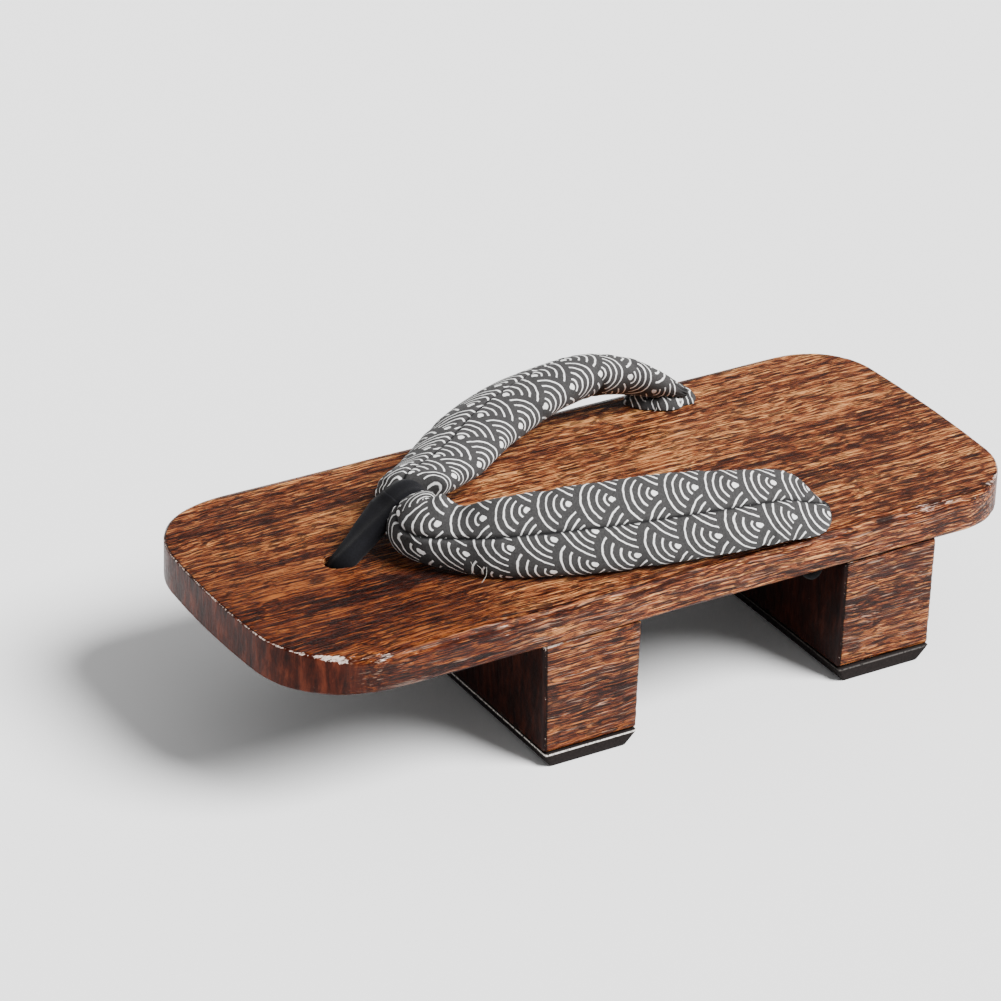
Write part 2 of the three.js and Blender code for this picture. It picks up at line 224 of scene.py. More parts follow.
class Looks:
    """A material with one principled shader, and short names for the nodes that feed it."""

    def __init__(self, name):
        self.material = bpy.data.materials.new(name)
        self.material.use_nodes = True
        self.tree = self.material.node_tree
        self.shader = self.tree.nodes["Principled BSDF"]

    def put(self, socket, value):
        if isinstance(value, bpy.types.NodeSocket):
            self.tree.links.new(value, socket)
        elif isinstance(value, tuple) and len(value) == 3 and len(socket.default_value) == 4:
            socket.default_value = (*value, 1)
        else:
            socket.default_value = value

    def node(self, kind, output=0, inputs=(), **settings):
        node = self.tree.nodes.new(kind)
        for name, value in settings.items():
            setattr(node, name, value)
        for name, value in dict(inputs).items():
            self.put(node.inputs[name], value)
        return node.outputs[output]

    def math(self, operation, *values):
        return self.node("ShaderNodeMath", inputs=enumerate(values), operation=operation)

    def total(self, *terms):
        """Sum of (weight, value) pairs."""
        result = 0.0
        for weight, value in terms:
            result = self.math("MULTIPLY_ADD", value, weight, result)
        return result

    def place(self, scale=(1, 1, 1), seed=0.0):
        """Object coordinates in millimetres, times a scale for each axis."""
        coordinates = self.node("ShaderNodeTexCoord", output="Object")
        return self.stretch(coordinates, [s / MM for s in scale], seed)

    def stretch(self, vector, scale, seed=0.0):
        inputs = {0: vector, 1: tuple(scale), 2: (seed, seed, seed)}
        return self.node("ShaderNodeVectorMath", inputs=inputs, operation="MULTIPLY_ADD")

    def bent(self, vector, colour, amount):
        """A vector moved by a colour around grey, up to half the amount each way."""
        grey = (0.5, 0.5, 0.5)
        shift = self.node("ShaderNodeVectorMath", inputs={0: colour, 1: grey}, operation="SUBTRACT")
        shift = self.node("ShaderNodeVectorMath", inputs={0: shift, "Scale": amount}, operation="SCALE")
        return self.node("ShaderNodeVectorMath", inputs={0: vector, 1: shift}, operation="ADD")

    def normal_part(self, axis):
        """One axis of the surface's own normal, from -1 to 1."""
        normal = self.node("ShaderNodeTexCoord", output="Normal")
        return self.node("ShaderNodeSeparateXYZ", output=axis, inputs={0: normal})

    def noise(self, vector, detail=3.0, roughness=0.5, distortion=0.0):
        inputs = {
            "Vector": vector,
            "Scale": 1.0,
            "Detail": detail,
            "Roughness": roughness,
            "Distortion": distortion,
        }
        return self.node("ShaderNodeTexNoise", inputs=inputs)

    def colour_noise(self, vector):
        """Soft noise with a value of its own in each colour, to bend a vector by."""
        inputs = {"Vector": vector, "Scale": 1.0}
        return self.node("ShaderNodeTexNoise", output="Color", inputs=inputs)

    def share(self, value, amount):
        return self.math("MULTIPLY", value, amount)

    def rise(self, value, start, end):
        """0 up to start and 1 from end, smoothly."""
        inputs = {0: value, 1: start, 2: end, 3: 0.0, 4: 1.0}
        return self.node("ShaderNodeMapRange", inputs=inputs, interpolation_type="SMOOTHSTEP")

    def ramp(self, value, stops):
        node = self.tree.nodes.new("ShaderNodeValToRGB")
        self.put(node.inputs[0], value)
        elements = node.color_ramp.elements
        while len(elements) < len(stops):
            elements.new(0.5)
        for element, (position, colour) in zip(elements, stops):
            element.position = position
            element.color = (*colour, 1)
        return node.outputs[0]

    def mix(self, factor, first, second, blend="MIX"):
        node = self.tree.nodes.new("ShaderNodeMix")
        node.data_type = "RGBA"
        node.blend_type = blend
        self.put(node.inputs[0], factor)
        self.put(node.inputs[6], first)
        self.put(node.inputs[7], second)
        return node.outputs[2]

    def attribute(self, name):
        return self.node("ShaderNodeAttribute", output="Fac", attribute_name=name)

    def bump(self, height, depth_mm, strength=1.0):
        inputs = {"Height": height, "Distance": depth_mm * MM, "Strength": strength}
        return self.node("ShaderNodeBump", inputs=inputs)

    def finish(self, **sockets):
        for name, value in sockets.items():
            self.put(self.shader.inputs[name.replace("_", " ")], value)
        return self.material


def srgb(code):
    """Linear colour from a hex code."""
    parts = [int(code[i : i + 2], 16) / 255 for i in (1, 3, 5)]
    return tuple(c / 12.92 if c <= 0.04045 else ((c + 0.055) / 1.055) ** 2.4 for c in parts)


# Wood: fine streaks along Y over broad bands, with short dark flecks, darker end grain, and dark stain with
# painted shade on the undersides and the teeth's end faces
WOOD_TONES = (
    (0.415, srgb("#190400")),
    (0.465, srgb("#391405")),
    (0.5, srgb("#632f1a")),
    (0.535, srgb("#91542e")),
    (0.59, srgb("#d6995e")),
)
END_TONES = ((0.35, srgb("#1f0a06")), (0.5, srgb("#3a150b")), (0.65, srgb("#592717")))
# Near black for end faces: dark stain and painted shade
END_STAIN_AND_SHADE = srgb("#080303")
WOOD_FLECK = srgb("#1a0501")
# Pale colour of worn wood, also painted as highlight on the edges
WOOD_WEAR_AND_HIGHLIGHT = srgb("#dcc8bc")
# Multiplied into the wood: painted shade over the deck's toe half, and a darker tone on the teeth
WOOD_STAIN_AND_SHADE = (0.39, 0.25, 0.16)
# Near black for downward faces: dark stain and painted shade
UNDERSIDE_STAIN_AND_SHADE = srgb("#0c0504")
SIDE_BLOTCH = srgb("#240e0c")
# Pale colour painted as glints on the side faces
SIDE_GLINT = srgb("#dcb49a")

# How far the grain strays, in millimetres, and how fast, across, along and up
GRAIN_DRIFT = 6
GRAIN_WAVER = 1.7
DRIFT_SCALE = (0.03, 0.012, 0.03)
WAVER_SCALE = (0.1, 0.07, 0.1)

# Noises that follow the grain: scale for each millimetre across, along and up, seed, detail, roughness and
# distortion
GRAIN_NOISES = {
    "bands": ((0.12, 0.006, 0.12), 0, 2, 0.5, 0.0),
    "streaks": ((1.15, 0.034, 1.15), 0, 5, 0.66, 0.0),
    "pores": ((2.9, 0.11, 2.9), 0, 3, 0.6, 0.0),
    "flecks": ((0.8, 0.2, 0.8), 9, 2, 0.5, 0.6),
    "patches": ((0.05, 0.022, 0.05), 5, 2, 0.5, 0.0),
    "grooves": ((0.4, 0.03, 0.55), 1, 3, 0.5, 0.0),
    "side_glints": ((1.5, 0.05, 1.7), 21, 3, 0.6, 0.0),
}

# Noises that keep to the piece itself
PLAIN_NOISES = {
    "blotches": ((0.09, 0.045, 0.12), 13, 3, 0.6, 0.0),
    "end_streaks": ((0.35, 0.35, 0.09), 3, 4, 0.6, 0.2),
    "speckle": ((0.8, 0.16, 0.8), 7, 4, 0.75, 0.0),
}

# Shares of the noises in what is made of several
TONE_MIX = (("bands", 0.17), ("streaks", 0.38), ("pores", 0.45))
FLECK_MIX = (("flecks", 0.75), ("patches", 0.25))
SPECKLE_MIX = (("pores", 0.4), ("speckle", 0.6))
RELIEF_MIX = (("streaks", 0.5), ("pores", 0.5))

# Masks: where each starts and is full, on a noise or on a part of the surface's normal, and its strength
MASKS = {
    "flecks": (0.51, 0.58, 0.72),
    "blotches": (0.54, 0.64, 0.55),
    "side_glints": (0.58, 0.68, 0.3),
    "worn_and_highlighted": (1.34, 1.54, 0.85),
    "scar": (0.9, 1.1, 1.0),
    "side": (0.3, 0.8, 1.0),
    "upright": (0.8, 0.97, 1.0),
    "toe": (-0.03, -0.5, 1.0),
    "heel": (0.5, 0.8, 1.0),
    "down": (-0.5, -0.9, 1.0),
}
WEAR_HIGHLIGHT_WEIGHT = 0.6
WEAR_HIGHLIGHT_SPECKLE = 2.0
SCAR_WEIGHT = 1.0
SCAR_SPECKLE = 0.8
SIDE_GROOVES = 3
END_RELIEF = 0.3
GRAIN_BUMP = 0.9
WOOD_COAT = 0.02
SIDE_COAT = 0.1
WOOD_ROUGHNESS = 0.2
STREAK_ROUGHNESS = 0.35


def wood_looks(name, seed, end_stain_and_shade_share):
    looks = Looks(name)
    drift = looks.colour_noise(looks.place(DRIFT_SCALE, seed))
    waver = looks.colour_noise(looks.place(WAVER_SCALE, seed))
    grain = looks.bent(looks.bent(looks.place(), drift, GRAIN_DRIFT), waver, GRAIN_WAVER)
    noises = {}
    for key, (scale, shift, *shape) in GRAIN_NOISES.items():
        noises[key] = looks.noise(looks.stretch(grain, scale, seed + shift), *shape)
    for key, (scale, shift, *shape) in PLAIN_NOISES.items():
        noises[key] = looks.noise(looks.place(scale, seed + shift), *shape)

    def mixture(shares):
        return looks.total(*((share, noises[key]) for key, share in shares))

    def mask(key, value):
        start, full, strength = MASKS[key]
        return looks.share(looks.rise(value, start, full), strength)

    # Where the surface faces
    steep = looks.math("ABSOLUTE", looks.normal_part("X"))
    lengthwise = looks.normal_part("Y")
    facing_side = mask("side", steep)
    facing_end = looks.math("MAXIMUM", mask("toe", lengthwise), mask("heel", lengthwise))
    facing_down = mask("down", looks.normal_part("Z"))

    # Colour, from the grain up to the worn and dented edges, with painted shade, painted glints and painted
    # highlights among them
    blotches = looks.share(mask("blotches", noises["blotches"]), facing_side)
    # Painted glints on the side faces
    side_glints = looks.share(mask("side_glints", noises["side_glints"]), facing_side)
    # End grain, taken towards near black by the share given: dark stain and painted shade
    end_colour = looks.mix(end_stain_and_shade_share, looks.ramp(noises["end_streaks"], END_TONES), END_STAIN_AND_SHADE)
    speckle = mixture(SPECKLE_MIX)
    # Worn wood and painted highlight on the edges, broken up by speckle
    worn_and_highlighted = looks.total((WEAR_HIGHLIGHT_WEIGHT, looks.attribute("wear")), (WEAR_HIGHLIGHT_SPECKLE, speckle))
    scar = looks.total((SCAR_WEIGHT, looks.attribute("scar")), (SCAR_SPECKLE, speckle))
    colour = looks.ramp(mixture(TONE_MIX), WOOD_TONES)
    colour = looks.mix(mask("flecks", mixture(FLECK_MIX)), colour, WOOD_FLECK)
    # Painted shade over the deck's toe half, and the teeth's darker tone
    colour = looks.mix(looks.attribute("shade_and_stain"), colour, WOOD_STAIN_AND_SHADE, blend="MULTIPLY")
    colour = looks.mix(blotches, colour, SIDE_BLOTCH)
    colour = looks.mix(side_glints, colour, SIDE_GLINT)
    colour = looks.mix(facing_end, colour, end_colour)
    # Downward faces painted near black: dark stain and painted shade
    colour = looks.mix(facing_down, colour, UNDERSIDE_STAIN_AND_SHADE)
    colour = looks.mix(mask("worn_and_highlighted", worn_and_highlighted), colour, WOOD_WEAR_AND_HIGHLIGHT)
    colour = looks.mix(mask("scar", scar), colour, WOOD_FLECK)

    grooves = looks.share(looks.share(facing_side, noises["grooves"]), SIDE_GROOVES)
    relief = looks.math("ADD", mixture(RELIEF_MIX), grooves)
    height = looks.mix(facing_end, relief, looks.share(noises["end_streaks"], END_RELIEF))
    return looks.finish(
        Base_Color=colour,
        Roughness=looks.total((1.0, WOOD_ROUGHNESS), (STREAK_ROUGHNESS, noises["streaks"])),
        Normal=looks.bump(height, GRAIN_BUMP),
        Specular_IOR_Level=0.06,
        Coat_Weight=looks.total((1.0, WOOD_COAT), (SIDE_COAT, mask("upright", steep))),
        Coat_Roughness=0.2,
    )


# Rubber with a pale line of glue along its top edge
RUBBER_TONES = ((0.3, srgb("#0b0807")), (0.7, srgb("#1b1413")))
GLUE_COLOUR = srgb("#e9e2da")
RUBBER_GRAIN = 1.4
GLUE_TOP_FADE = (0.8, 0.5)
GLUE_BREAKS = (0.36, 0.5)


def rubber_looks():
    looks = Looks("tread_rubber")
    grain = looks.noise(looks.place((RUBBER_GRAIN,) * 3), 4, 0.6)
    colour = looks.ramp(grain, RUBBER_TONES)
    height = looks.node("ShaderNodeSeparateXYZ", output="Z", inputs={0: looks.place()})
    on_line = looks.rise(height, TREAD_TOP - GLUE_LINE, TREAD_TOP - GLUE_LINE / 2)
    on_line = looks.share(on_line, looks.rise(looks.normal_part("Z"), *GLUE_TOP_FADE))
    glue = looks.share(looks.attribute("glue"), looks.rise(grain, *GLUE_BREAKS))
    colour = looks.mix(looks.share(glue, on_line), colour, GLUE_COLOUR)
    normal = looks.bump(grain, 0.15, 0.6)
    return looks.finish(Base_Color=colour, Roughness=0.75, Normal=normal, Specular_IOR_Level=0.12)


# Cotton with the traditional wave scales. The mesh carries each point's place in the pattern, with scales
# one unit apart along the strap, bulging towards -U, and each column half a unit behind the next.
SCALE_COLUMN = 0.82
SCALE_RADIUS = 0.9
SCALE_FIRST_RING = 0.175
SCALE_RING_STEP = 0.182
SCALE_RINGS = 4
SCALE_DOT = 0.078
SCALE_LINE = 0.019
SCALE_SOFT = 0.008
SCALE_WOBBLE = 0.05
WOBBLE_GRAIN = 0.5
HIDDEN_SCALE = 1000.0


def scale_column(looks, u, v, column):
    """Centre along U of a column's front scale that covers a point, and the point's distance across."""
    across = looks.share(looks.math("SUBTRACT", v, column), SCALE_COLUMN)
    room = looks.math("SUBTRACT", SCALE_RADIUS**2, looks.share(across, across))
    reach = looks.math("SQRT", looks.math("MAXIMUM", room, 0.0))
    offset = looks.share(looks.math("FLOORED_MODULO", column, 2.0), 0.5)
    centre = looks.math("FLOOR", looks.math("SUBTRACT", looks.math("ADD", u, reach), offset))
    centre = looks.math("ADD", centre, offset)
    covered = looks.math("LESS_THAN", looks.math("SUBTRACT", u, centre), reach)
    far_behind = looks.share(looks.math("SUBTRACT", covered, 1.0), HIDDEN_SCALE)
    return looks.math("ADD", centre, far_behind), across


def scale_lines(looks, vector):
    """1 on the pale lines and dots of the wave scales, 0 between them."""
    parts = {axis: looks.node("ShaderNodeSeparateXYZ", output=axis, inputs={0: vector}) for axis in "XY"}
    u = parts["X"]
    v = looks.math("DIVIDE", parts["Y"], SCALE_COLUMN)
    low = looks.math("FLOOR", v)
    centre_a, across_a = scale_column(looks, u, v, low)
    centre_b, across_b = scale_column(looks, u, v, looks.math("ADD", low, 1.0))
    second = looks.math("GREATER_THAN", centre_b, centre_a)
    centre = looks.math("MAXIMUM", centre_a, centre_b)
    change = looks.math("SUBTRACT", across_b, across_a)
    across = looks.math("MULTIPLY_ADD", second, change, across_a)
    along = looks.math("SUBTRACT", u, centre)
    squares = looks.math("MULTIPLY_ADD", along, along, looks.share(across, across))
    distance = looks.math("SQRT", squares)
    ring = looks.math("DIVIDE", looks.math("SUBTRACT", distance, SCALE_FIRST_RING), SCALE_RING_STEP)
    nearest = looks.math("MAXIMUM", looks.math("ROUND", ring), 0.0)
    nearest = looks.math("MINIMUM", nearest, SCALE_RINGS - 1.0)
    off_ring = looks.math("ABSOLUTE", looks.math("SUBTRACT", ring, nearest))
    off_ring = looks.share(off_ring, SCALE_RING_STEP)
    line = looks.rise(off_ring, SCALE_LINE + SCALE_SOFT, SCALE_LINE - SCALE_SOFT)
    dot = looks.rise(distance, SCALE_DOT + SCALE_SOFT, SCALE_DOT - SCALE_SOFT)
    return looks.math("MAXIMUM", line, dot)


PRINTED_TONES = ((0.3, srgb("#2d2c2c")), (0.7, srgb("#403f3f")))
PLAIN_TONES = ((0.3, srgb("#030305")), (0.7, srgb("#0d0d12")))
PRINT_TONES = (srgb("#dcdad6"), srgb("#ffffff"))
CLOTH_SHADE = srgb("#08080a")
CLOTH_GRAIN = 1.6
WEAVE_GRAIN = 5.5
WEAVE_BUMP = 0.12


def cloth_looks(name, printed):
    looks = Looks(name)
    cloth = looks.noise(looks.place((CLOTH_GRAIN,) * 3), 4, 0.7)
    weave = looks.noise(looks.place((WEAVE_GRAIN,) * 3), 2, 0.6)
    if printed:
        wobble = looks.colour_noise(looks.place((WOBBLE_GRAIN,) * 3))
        charted = looks.bent(looks.node("ShaderNodeUVMap", uv_map="pattern"), wobble, SCALE_WOBBLE)
        pale = looks.mix(weave, *PRINT_TONES)
        colour = looks.mix(scale_lines(looks, charted), looks.ramp(cloth, PRINTED_TONES), pale)
    else:
        colour = looks.ramp(cloth, PLAIN_TONES)
    # The shade attribute is painted shade: in seams, creases, folds, at the tips, and over the tails and
    # knots under the deck
    return looks.finish(
        Base_Color=looks.mix(looks.attribute("shade"), colour, CLOTH_SHADE),
        Roughness=0.88,
        Normal=looks.bump(weave, WEAVE_BUMP, 0.5),
        Specular_IOR_Level=0.15,
        Sheen_Weight=0.04,
        Sheen_Roughness=0.5,
    )


THREAD_TONES = ((0.3, srgb("#8f8c86")), (0.7, srgb("#d4d1ca")))


def thread_looks():
    looks = Looks("thread_cotton")
    fuzz = looks.noise(looks.place((6, 6, 6)), 2)
    colour = looks.ramp(fuzz, THREAD_TONES)
    return looks.finish(Base_Color=colour, Roughness=0.9, Normal=looks.bump(fuzz, 0.05))


deck_wood = wood_looks("deck_wood", 3.0, 0.0)
# The teeth's end faces are painted mostly near black: dark stain and painted shade
tooth_wood = wood_looks("tooth_wood", 17.0, 0.75)
tread_rubber = rubber_looks()
strap_cloth = cloth_looks("strap_cloth", True)
thread_cotton = thread_looks()
thong_cloth = cloth_looks("thong_cloth", False)


# Deck
BOW_STEPS = 28
CORNER_STEPS = 40
LENGTH_STEPS = 120
ROUND_STEPS = 7
SIDE_FADE = 4
# Painted shade over the deck's toe half: strength, how much stronger towards +X, and the Y where it starts
# and where it is full
TOE_SHADE = 0.88
TOE_SHADE_LEAN = 0.75
TOE_SHADE_START = -20
TOE_SHADE_END = -95

# Grooves pressed into the wood: depth, and each noise's strength, scale across, along and up, and seed
GRAIN_DEPTH = 0.16
GROOVE_NOISES = (
    (1.0, (0.7, 0.045, 0.7), 11.0),
    (0.6, (0.22, 0.02, 0.22), 16.0),
)
END_SLOPE = (0.5, 0.8)
END_RELIEF_SHARE = 0.25
SIDE_RELIEF = 2.4


def end_line(side, bow, corner):
    """Points and outward normals of one end of the deck, from -X to +X."""
    start = DECK_HALF - corner
    lean = math.atan(2 * bow * start / DECK_HALF**2)
    radius = corner / (1 - math.sin(lean))
    corner_y = DECK_LENGTH / 2 - bow * (start / DECK_HALF) ** 2 - radius * math.cos(lean)
    x = np.linspace(0, start, BOW_STEPS, endpoint=False)
    tilt = np.arctan(2 * bow * x / DECK_HALF**2)
    angle = np.linspace(math.pi / 2 - lean, 0, CORNER_STEPS)
    points = np.concatenate([
        np.stack([x, DECK_LENGTH / 2 - bow * (x / DECK_HALF) ** 2], 1),
        np.stack([DECK_HALF - radius + radius * np.cos(angle), corner_y + radius * np.sin(angle)], 1),
    ])
    normals = np.concatenate([
        np.stack([np.sin(tilt), np.cos(tilt)], 1),
        np.stack([np.cos(angle), np.sin(angle)], 1),
    ])
    flip = np.array([-1, 1])
    points = np.concatenate([points[:0:-1] * flip, points]) * (1, side)
    normals = np.concatenate([normals[:0:-1] * flip, normals]) * (1, side)
    return points, normals


def grid_faces(count_a, count_b, start=0, turn=False):
    """Quads of a grid whose points are numbered from start, row by row."""
    faces = []
    for a in range(count_a - 1):
        for b in range(count_b - 1):
            corner = start + a * count_b + b
            face = [corner, corner + count_b, corner + count_b + 1, corner + 1]
            faces.append(face[::-1] if turn else face)
    return faces


def tube_faces(rings, count, closed=False):
    """Faces of a tube of rings: closed on itself, or with a face over each end."""
    faces = []
    for ring in range(rings if closed else rings - 1):
        there = (ring + 1) % rings
        for i in range(count):
            k = (i + 1) % count
            faces.append([ring * count + i, ring * count + k, there * count + k, there * count + i])
    if not closed:
        faces.append(list(range(count))[::-1])
        faces.append(list(range((rings - 1) * count, rings * count)))
    return faces


def deck_mesh():
    """Points and faces of the deck: a top and a bottom grid, joined by rings round its edge."""
    toe, toe_normal = end_line(-1, TOE_BOW, TOE_CORNER)
    heel, heel_normal = end_line(1, HEEL_BOW, HEEL_CORNER)
    columns = len(toe)
    shares = np.linspace(0, 1, LENGTH_STEPS)

    def sheet(side_inset, end_inset, z):
        def inset(points, normals):
            amount = end_inset + (side_inset - end_inset) * normals[:, :1] ** SIDE_FADE
            return points - amount * normals

        a = inset(toe, toe_normal)
        b = inset(heel, heel_normal)
        flat = a[:, None] + (b - a)[:, None] * shares[None, :, None]
        return np.concatenate([flat, np.full((*flat.shape[:2], 1), z)], 2)

    # The rim runs anticlockwise seen from above, as (column, row) of a sheet
    rim = [(c, 0) for c in range(columns)]
    rim += [(columns - 1, r) for r in range(1, LENGTH_STEPS)]
    rim += [(c, LENGTH_STEPS - 1) for c in range(columns - 2, -1, -1)]
    rim += [(0, r) for r in range(LENGTH_STEPS - 2, 0, -1)]
    rim_columns, rim_rows = np.array(rim).T
    in_front = rim_rows < LENGTH_STEPS / 2
    side = np.where(in_front, toe_normal[rim_columns, 0], heel_normal[rim_columns, 0]) ** SIDE_FADE

    top = sheet(SIDE_ROUND_TOP, END_ROUND, DECK_TOP)
    bottom = sheet(SIDE_ROUND_BOTTOM, END_ROUND, DECK_BOTTOM)
    points = [top.reshape(-1, 3), bottom.reshape(-1, 3)]
    size = columns * LENGTH_STEPS
    rings = [rim_columns * LENGTH_STEPS + rim_rows]
    count = 2 * size
    edge = [np.zeros(2 * size)]
    levels = []
    for i in range(1, ROUND_STEPS + 1):
        levels.append((math.pi / 2 * (1 - i / ROUND_STEPS), SIDE_ROUND_TOP, 1))
    for i in range(ROUND_STEPS):
        levels.append((math.pi / 2 * i / ROUND_STEPS, SIDE_ROUND_BOTTOM, -1))
    for angle, radius, sign in levels:
        fall = 1 - math.cos(angle)
        ring = sheet(radius * fall, END_ROUND * fall, 0)[rim_columns, rim_rows]
        drop = (END_ROUND + (radius - END_ROUND) * side) * (1 - math.sin(angle))
        ring[:, 2] = DECK_TOP - drop if sign > 0 else DECK_BOTTOM + drop
        points.append(ring)
        rings.append(np.arange(count, count + len(rim)))
        edge.append(np.full(len(rim), math.sin(2 * angle) if sign > 0 else 0.0))
        count += len(rim)
    rings.append(size + rim_columns * LENGTH_STEPS + rim_rows)

    faces = grid_faces(columns, LENGTH_STEPS)
    faces += grid_faces(columns, LENGTH_STEPS, start=size, turn=True)
    for upper, lower in zip(rings, rings[1:]):
        for i in range(len(rim)):
            k = (i + 1) % len(rim)
            faces.append([upper[i], lower[i], lower[k], upper[k]])
    return np.concatenate(points), faces, np.concatenate(edge)


def mesh_vectors(obj, kind):
    values = np.zeros(len(obj.data.vertices) * 3)
    obj.data.vertices.foreach_get(kind, values)
    return values.reshape(-1, 3)


def carve_grain(obj):
    """Presses grooves along Y into a wooden piece, as brushed grain has."""
    points = mesh_vectors(obj, "co") / MM
    normals = mesh_vectors(obj, "normal")
    grooves = sum(strength * noise_at(points, scale, seed) for strength, scale, seed in GROOVE_NOISES)
    long_faces = 1 - smooth_step(np.abs(normals[:, 1]), *END_SLOPE)
    share = END_RELIEF_SHARE + (1 - END_RELIEF_SHARE) * long_faces + SIDE_RELIEF * np.abs(normals[:, 0])
    press = GRAIN_DEPTH * (np.clip(grooves, -1, 1) - 1) / 2 * share
    carved = points + normals * press[:, None]
    obj.data.vertices.foreach_set("co", (carved * MM).ravel())
    obj.data.update()


def cutter(name, x, y, rows, sides=40):
    """A round closed cutter from rows of height and radius."""
    points = [(x + r * math.cos(a), y + r * math.sin(a), z) for z, r in rows for a in full_turn(sides)]
    return new_object(name, points, tube_faces(len(rows), sides), deck_wood)


def cut(obj, cutters):
    for tool in cutters:
        modifier = obj.modifiers.new(tool.name, "BOOLEAN")
        modifier.operation = "DIFFERENCE"
        modifier.solver = "EXACT"
        modifier.object = tool
    settle(obj)
    for tool in cutters:
        bpy.data.objects.remove(tool)


def place_strength(along, places):
    """How strongly a table of places marks a point along the deck."""
    strength = np.zeros(len(along))
    for row in places:
        place = dict(zip(PLACE_COLUMNS, row))
        strength += place["strength"] * np.exp(-(((along - place["middle"]) / place["reach"]) ** 4))
    return strength


def make_deck():
    points, faces, edge = deck_mesh()
    obj = new_object("deck_board", points, faces, deck_wood)
    # Wear and painted highlight along the top edges, more at the listed places on the +X side and along the
    # ends
    near = edge * (points[:, 0] > 0)
    end_edge = edge * (np.abs(points[:, 0]) < DECK_HALF - SIDE_ROUND_TOP)
    spots = place_strength(points[:, 1], WORN_AND_SHINING_PLACES)
    point_value(obj, "wear", EDGE_WEAR_AND_HIGHLIGHT * edge + near * spots + (END_EDGE_WEAR_AND_HIGHLIGHT - EDGE_WEAR_AND_HIGHLIGHT) * end_edge)
    point_value(obj, "scar", near * place_strength(points[:, 1], DENTED_PLACES))
    # Painted shade over the toe half, stronger towards +X
    shade_and_stain = TOE_SHADE * (1 + TOE_SHADE_LEAN * points[:, 0] / DECK_HALF)
    point_value(obj, "shade_and_stain", shade_and_stain * smooth_step(-points[:, 1], -TOE_SHADE_START, -TOE_SHADE_END))
    carve_grain(obj)
    below = DECK_BOTTOM - 1
    above = DECK_TOP + 1
    sink_bottom = DECK_TOP - REAR_SINK_DEPTH
    front_rows = [(below, FRONT_HOLE_RADIUS), (above, FRONT_HOLE_RADIUS)]
    cutters = [cutter("front_hole", 0, FRONT_HOLE_Y, front_rows)]
    for side in (-1, 1):
        x = side * REAR_HOLE_X
        rows = [
            (below, REAR_HOLE_RADIUS),
            (sink_bottom, REAR_HOLE_RADIUS),
            (DECK_TOP, REAR_SINK_RADIUS),
            (above, REAR_SINK_RADIUS),
        ]
        cutters.append(cutter(f"rear_hole_{side}", x, REAR_HOLE_Y, rows))
    cut(obj, cutters)
    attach(obj, "root")
    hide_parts("deck")


# Teeth and treads: blocks with worn edges and a painted highlight at the top front of the +X side, whose
# grain runs with the deck's, and rubber sheets under them
BLOCK_STEP = {"tooth": 1.1, "tread": 1.0}
TOOTH_EDGE_WEAR = 0.35
# Painted highlight along the top edge of each tooth's +X side near its front: strength, how far the band
# reaches down and in, and where it fades out, in millimetres back from the front
TOOTH_LEDGE_HIGHLIGHT = {"front": 0.55, "rear": 0.2}
LEDGE_HEIGHT = 1.4
LEDGE_START = 4
LEDGE_END = 12
# How much darker the teeth's wood is, and how much darker again towards the foot
TOOTH_STAIN = {"front": 0.56, "rear": 0.37}
TOOTH_FOOT_DARKENING = 0.4


def block_mesh(low, high, step, radius):
    """Points and faces of a box with rounded edges, as a grid on each side."""
    low = np.array(low, float)
    high = np.array(high, float)
    counts = np.maximum(np.round((high - low) / step).astype(int), 2)
    numbers = {}
    points = []

    def number(cell):
        if cell not in numbers:
            numbers[cell] = len(points)
            points.append(low + (high - low) * np.array(cell) / counts)
        return numbers[cell]

    faces = []
    for axis in range(3):
        first, second = [other for other in range(3) if other != axis]
        for end in (0, counts[axis]):
            for a in range(counts[first]):
                for b in range(counts[second]):
                    corners = []
                    for da, db in ((0, 0), (1, 0), (1, 1), (0, 1)):
                        cell = [0, 0, 0]
                        cell[axis] = int(end)
                        cell[first] = a + da
                        cell[second] = b + db
                        corners.append(number(tuple(cell)))
                    outwards = (end > 0) == (axis != 1)
                    faces.append(corners if outwards else corners[::-1])
    points = np.array(points)
    core = np.clip(points, low + radius, high - radius)
    away = points - core
    length = np.linalg.norm(away, axis=1, keepdims=True)
    points = core + away / np.maximum(length, 1e-9) * radius
    on_edge = np.clip(np.count_nonzero(np.abs(away) > 1e-6, axis=1) - 1, 0, 1)
    return points, faces, on_edge


def make_tooth(end):
    low, high = box_mm(f"tooth_{end}")
    points, faces, on_edge = block_mesh(low, high, BLOCK_STEP["tooth"], TOOTH_ROUND)
    rise = (points[:, 2] - low[2]) / (high[2] - low[2])
    back = (points[:, 1] - low[1]) / (high[1] - low[1])
    points[:, 1] += TOOTH_LEAN[end] * (1 - rise) * (1 - back)
    obj = new_object(f"tooth_{end}_block", points, faces, tooth_wood)
    # A painted highlight along the front of the top +X edge, added to the worn edges
    on_ledge = (points[:, 2] > high[2] - LEDGE_HEIGHT) & (points[:, 0] > high[0] - LEDGE_HEIGHT)
    ledge = on_ledge * (1 - smooth_step(points[:, 1] - low[1], LEDGE_START, LEDGE_END))
    point_value(obj, "wear", TOOTH_EDGE_WEAR * on_edge + TOOTH_LEDGE_HIGHLIGHT[end] * ledge)
    point_value(obj, "scar", np.zeros(len(points)))
    point_value(obj, "shade_and_stain", TOOTH_STAIN[end] + TOOTH_FOOT_DARKENING * (1 - rise) ** 2)
    carve_grain(obj)
    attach(obj, "root")
    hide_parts(f"tooth_{end}")


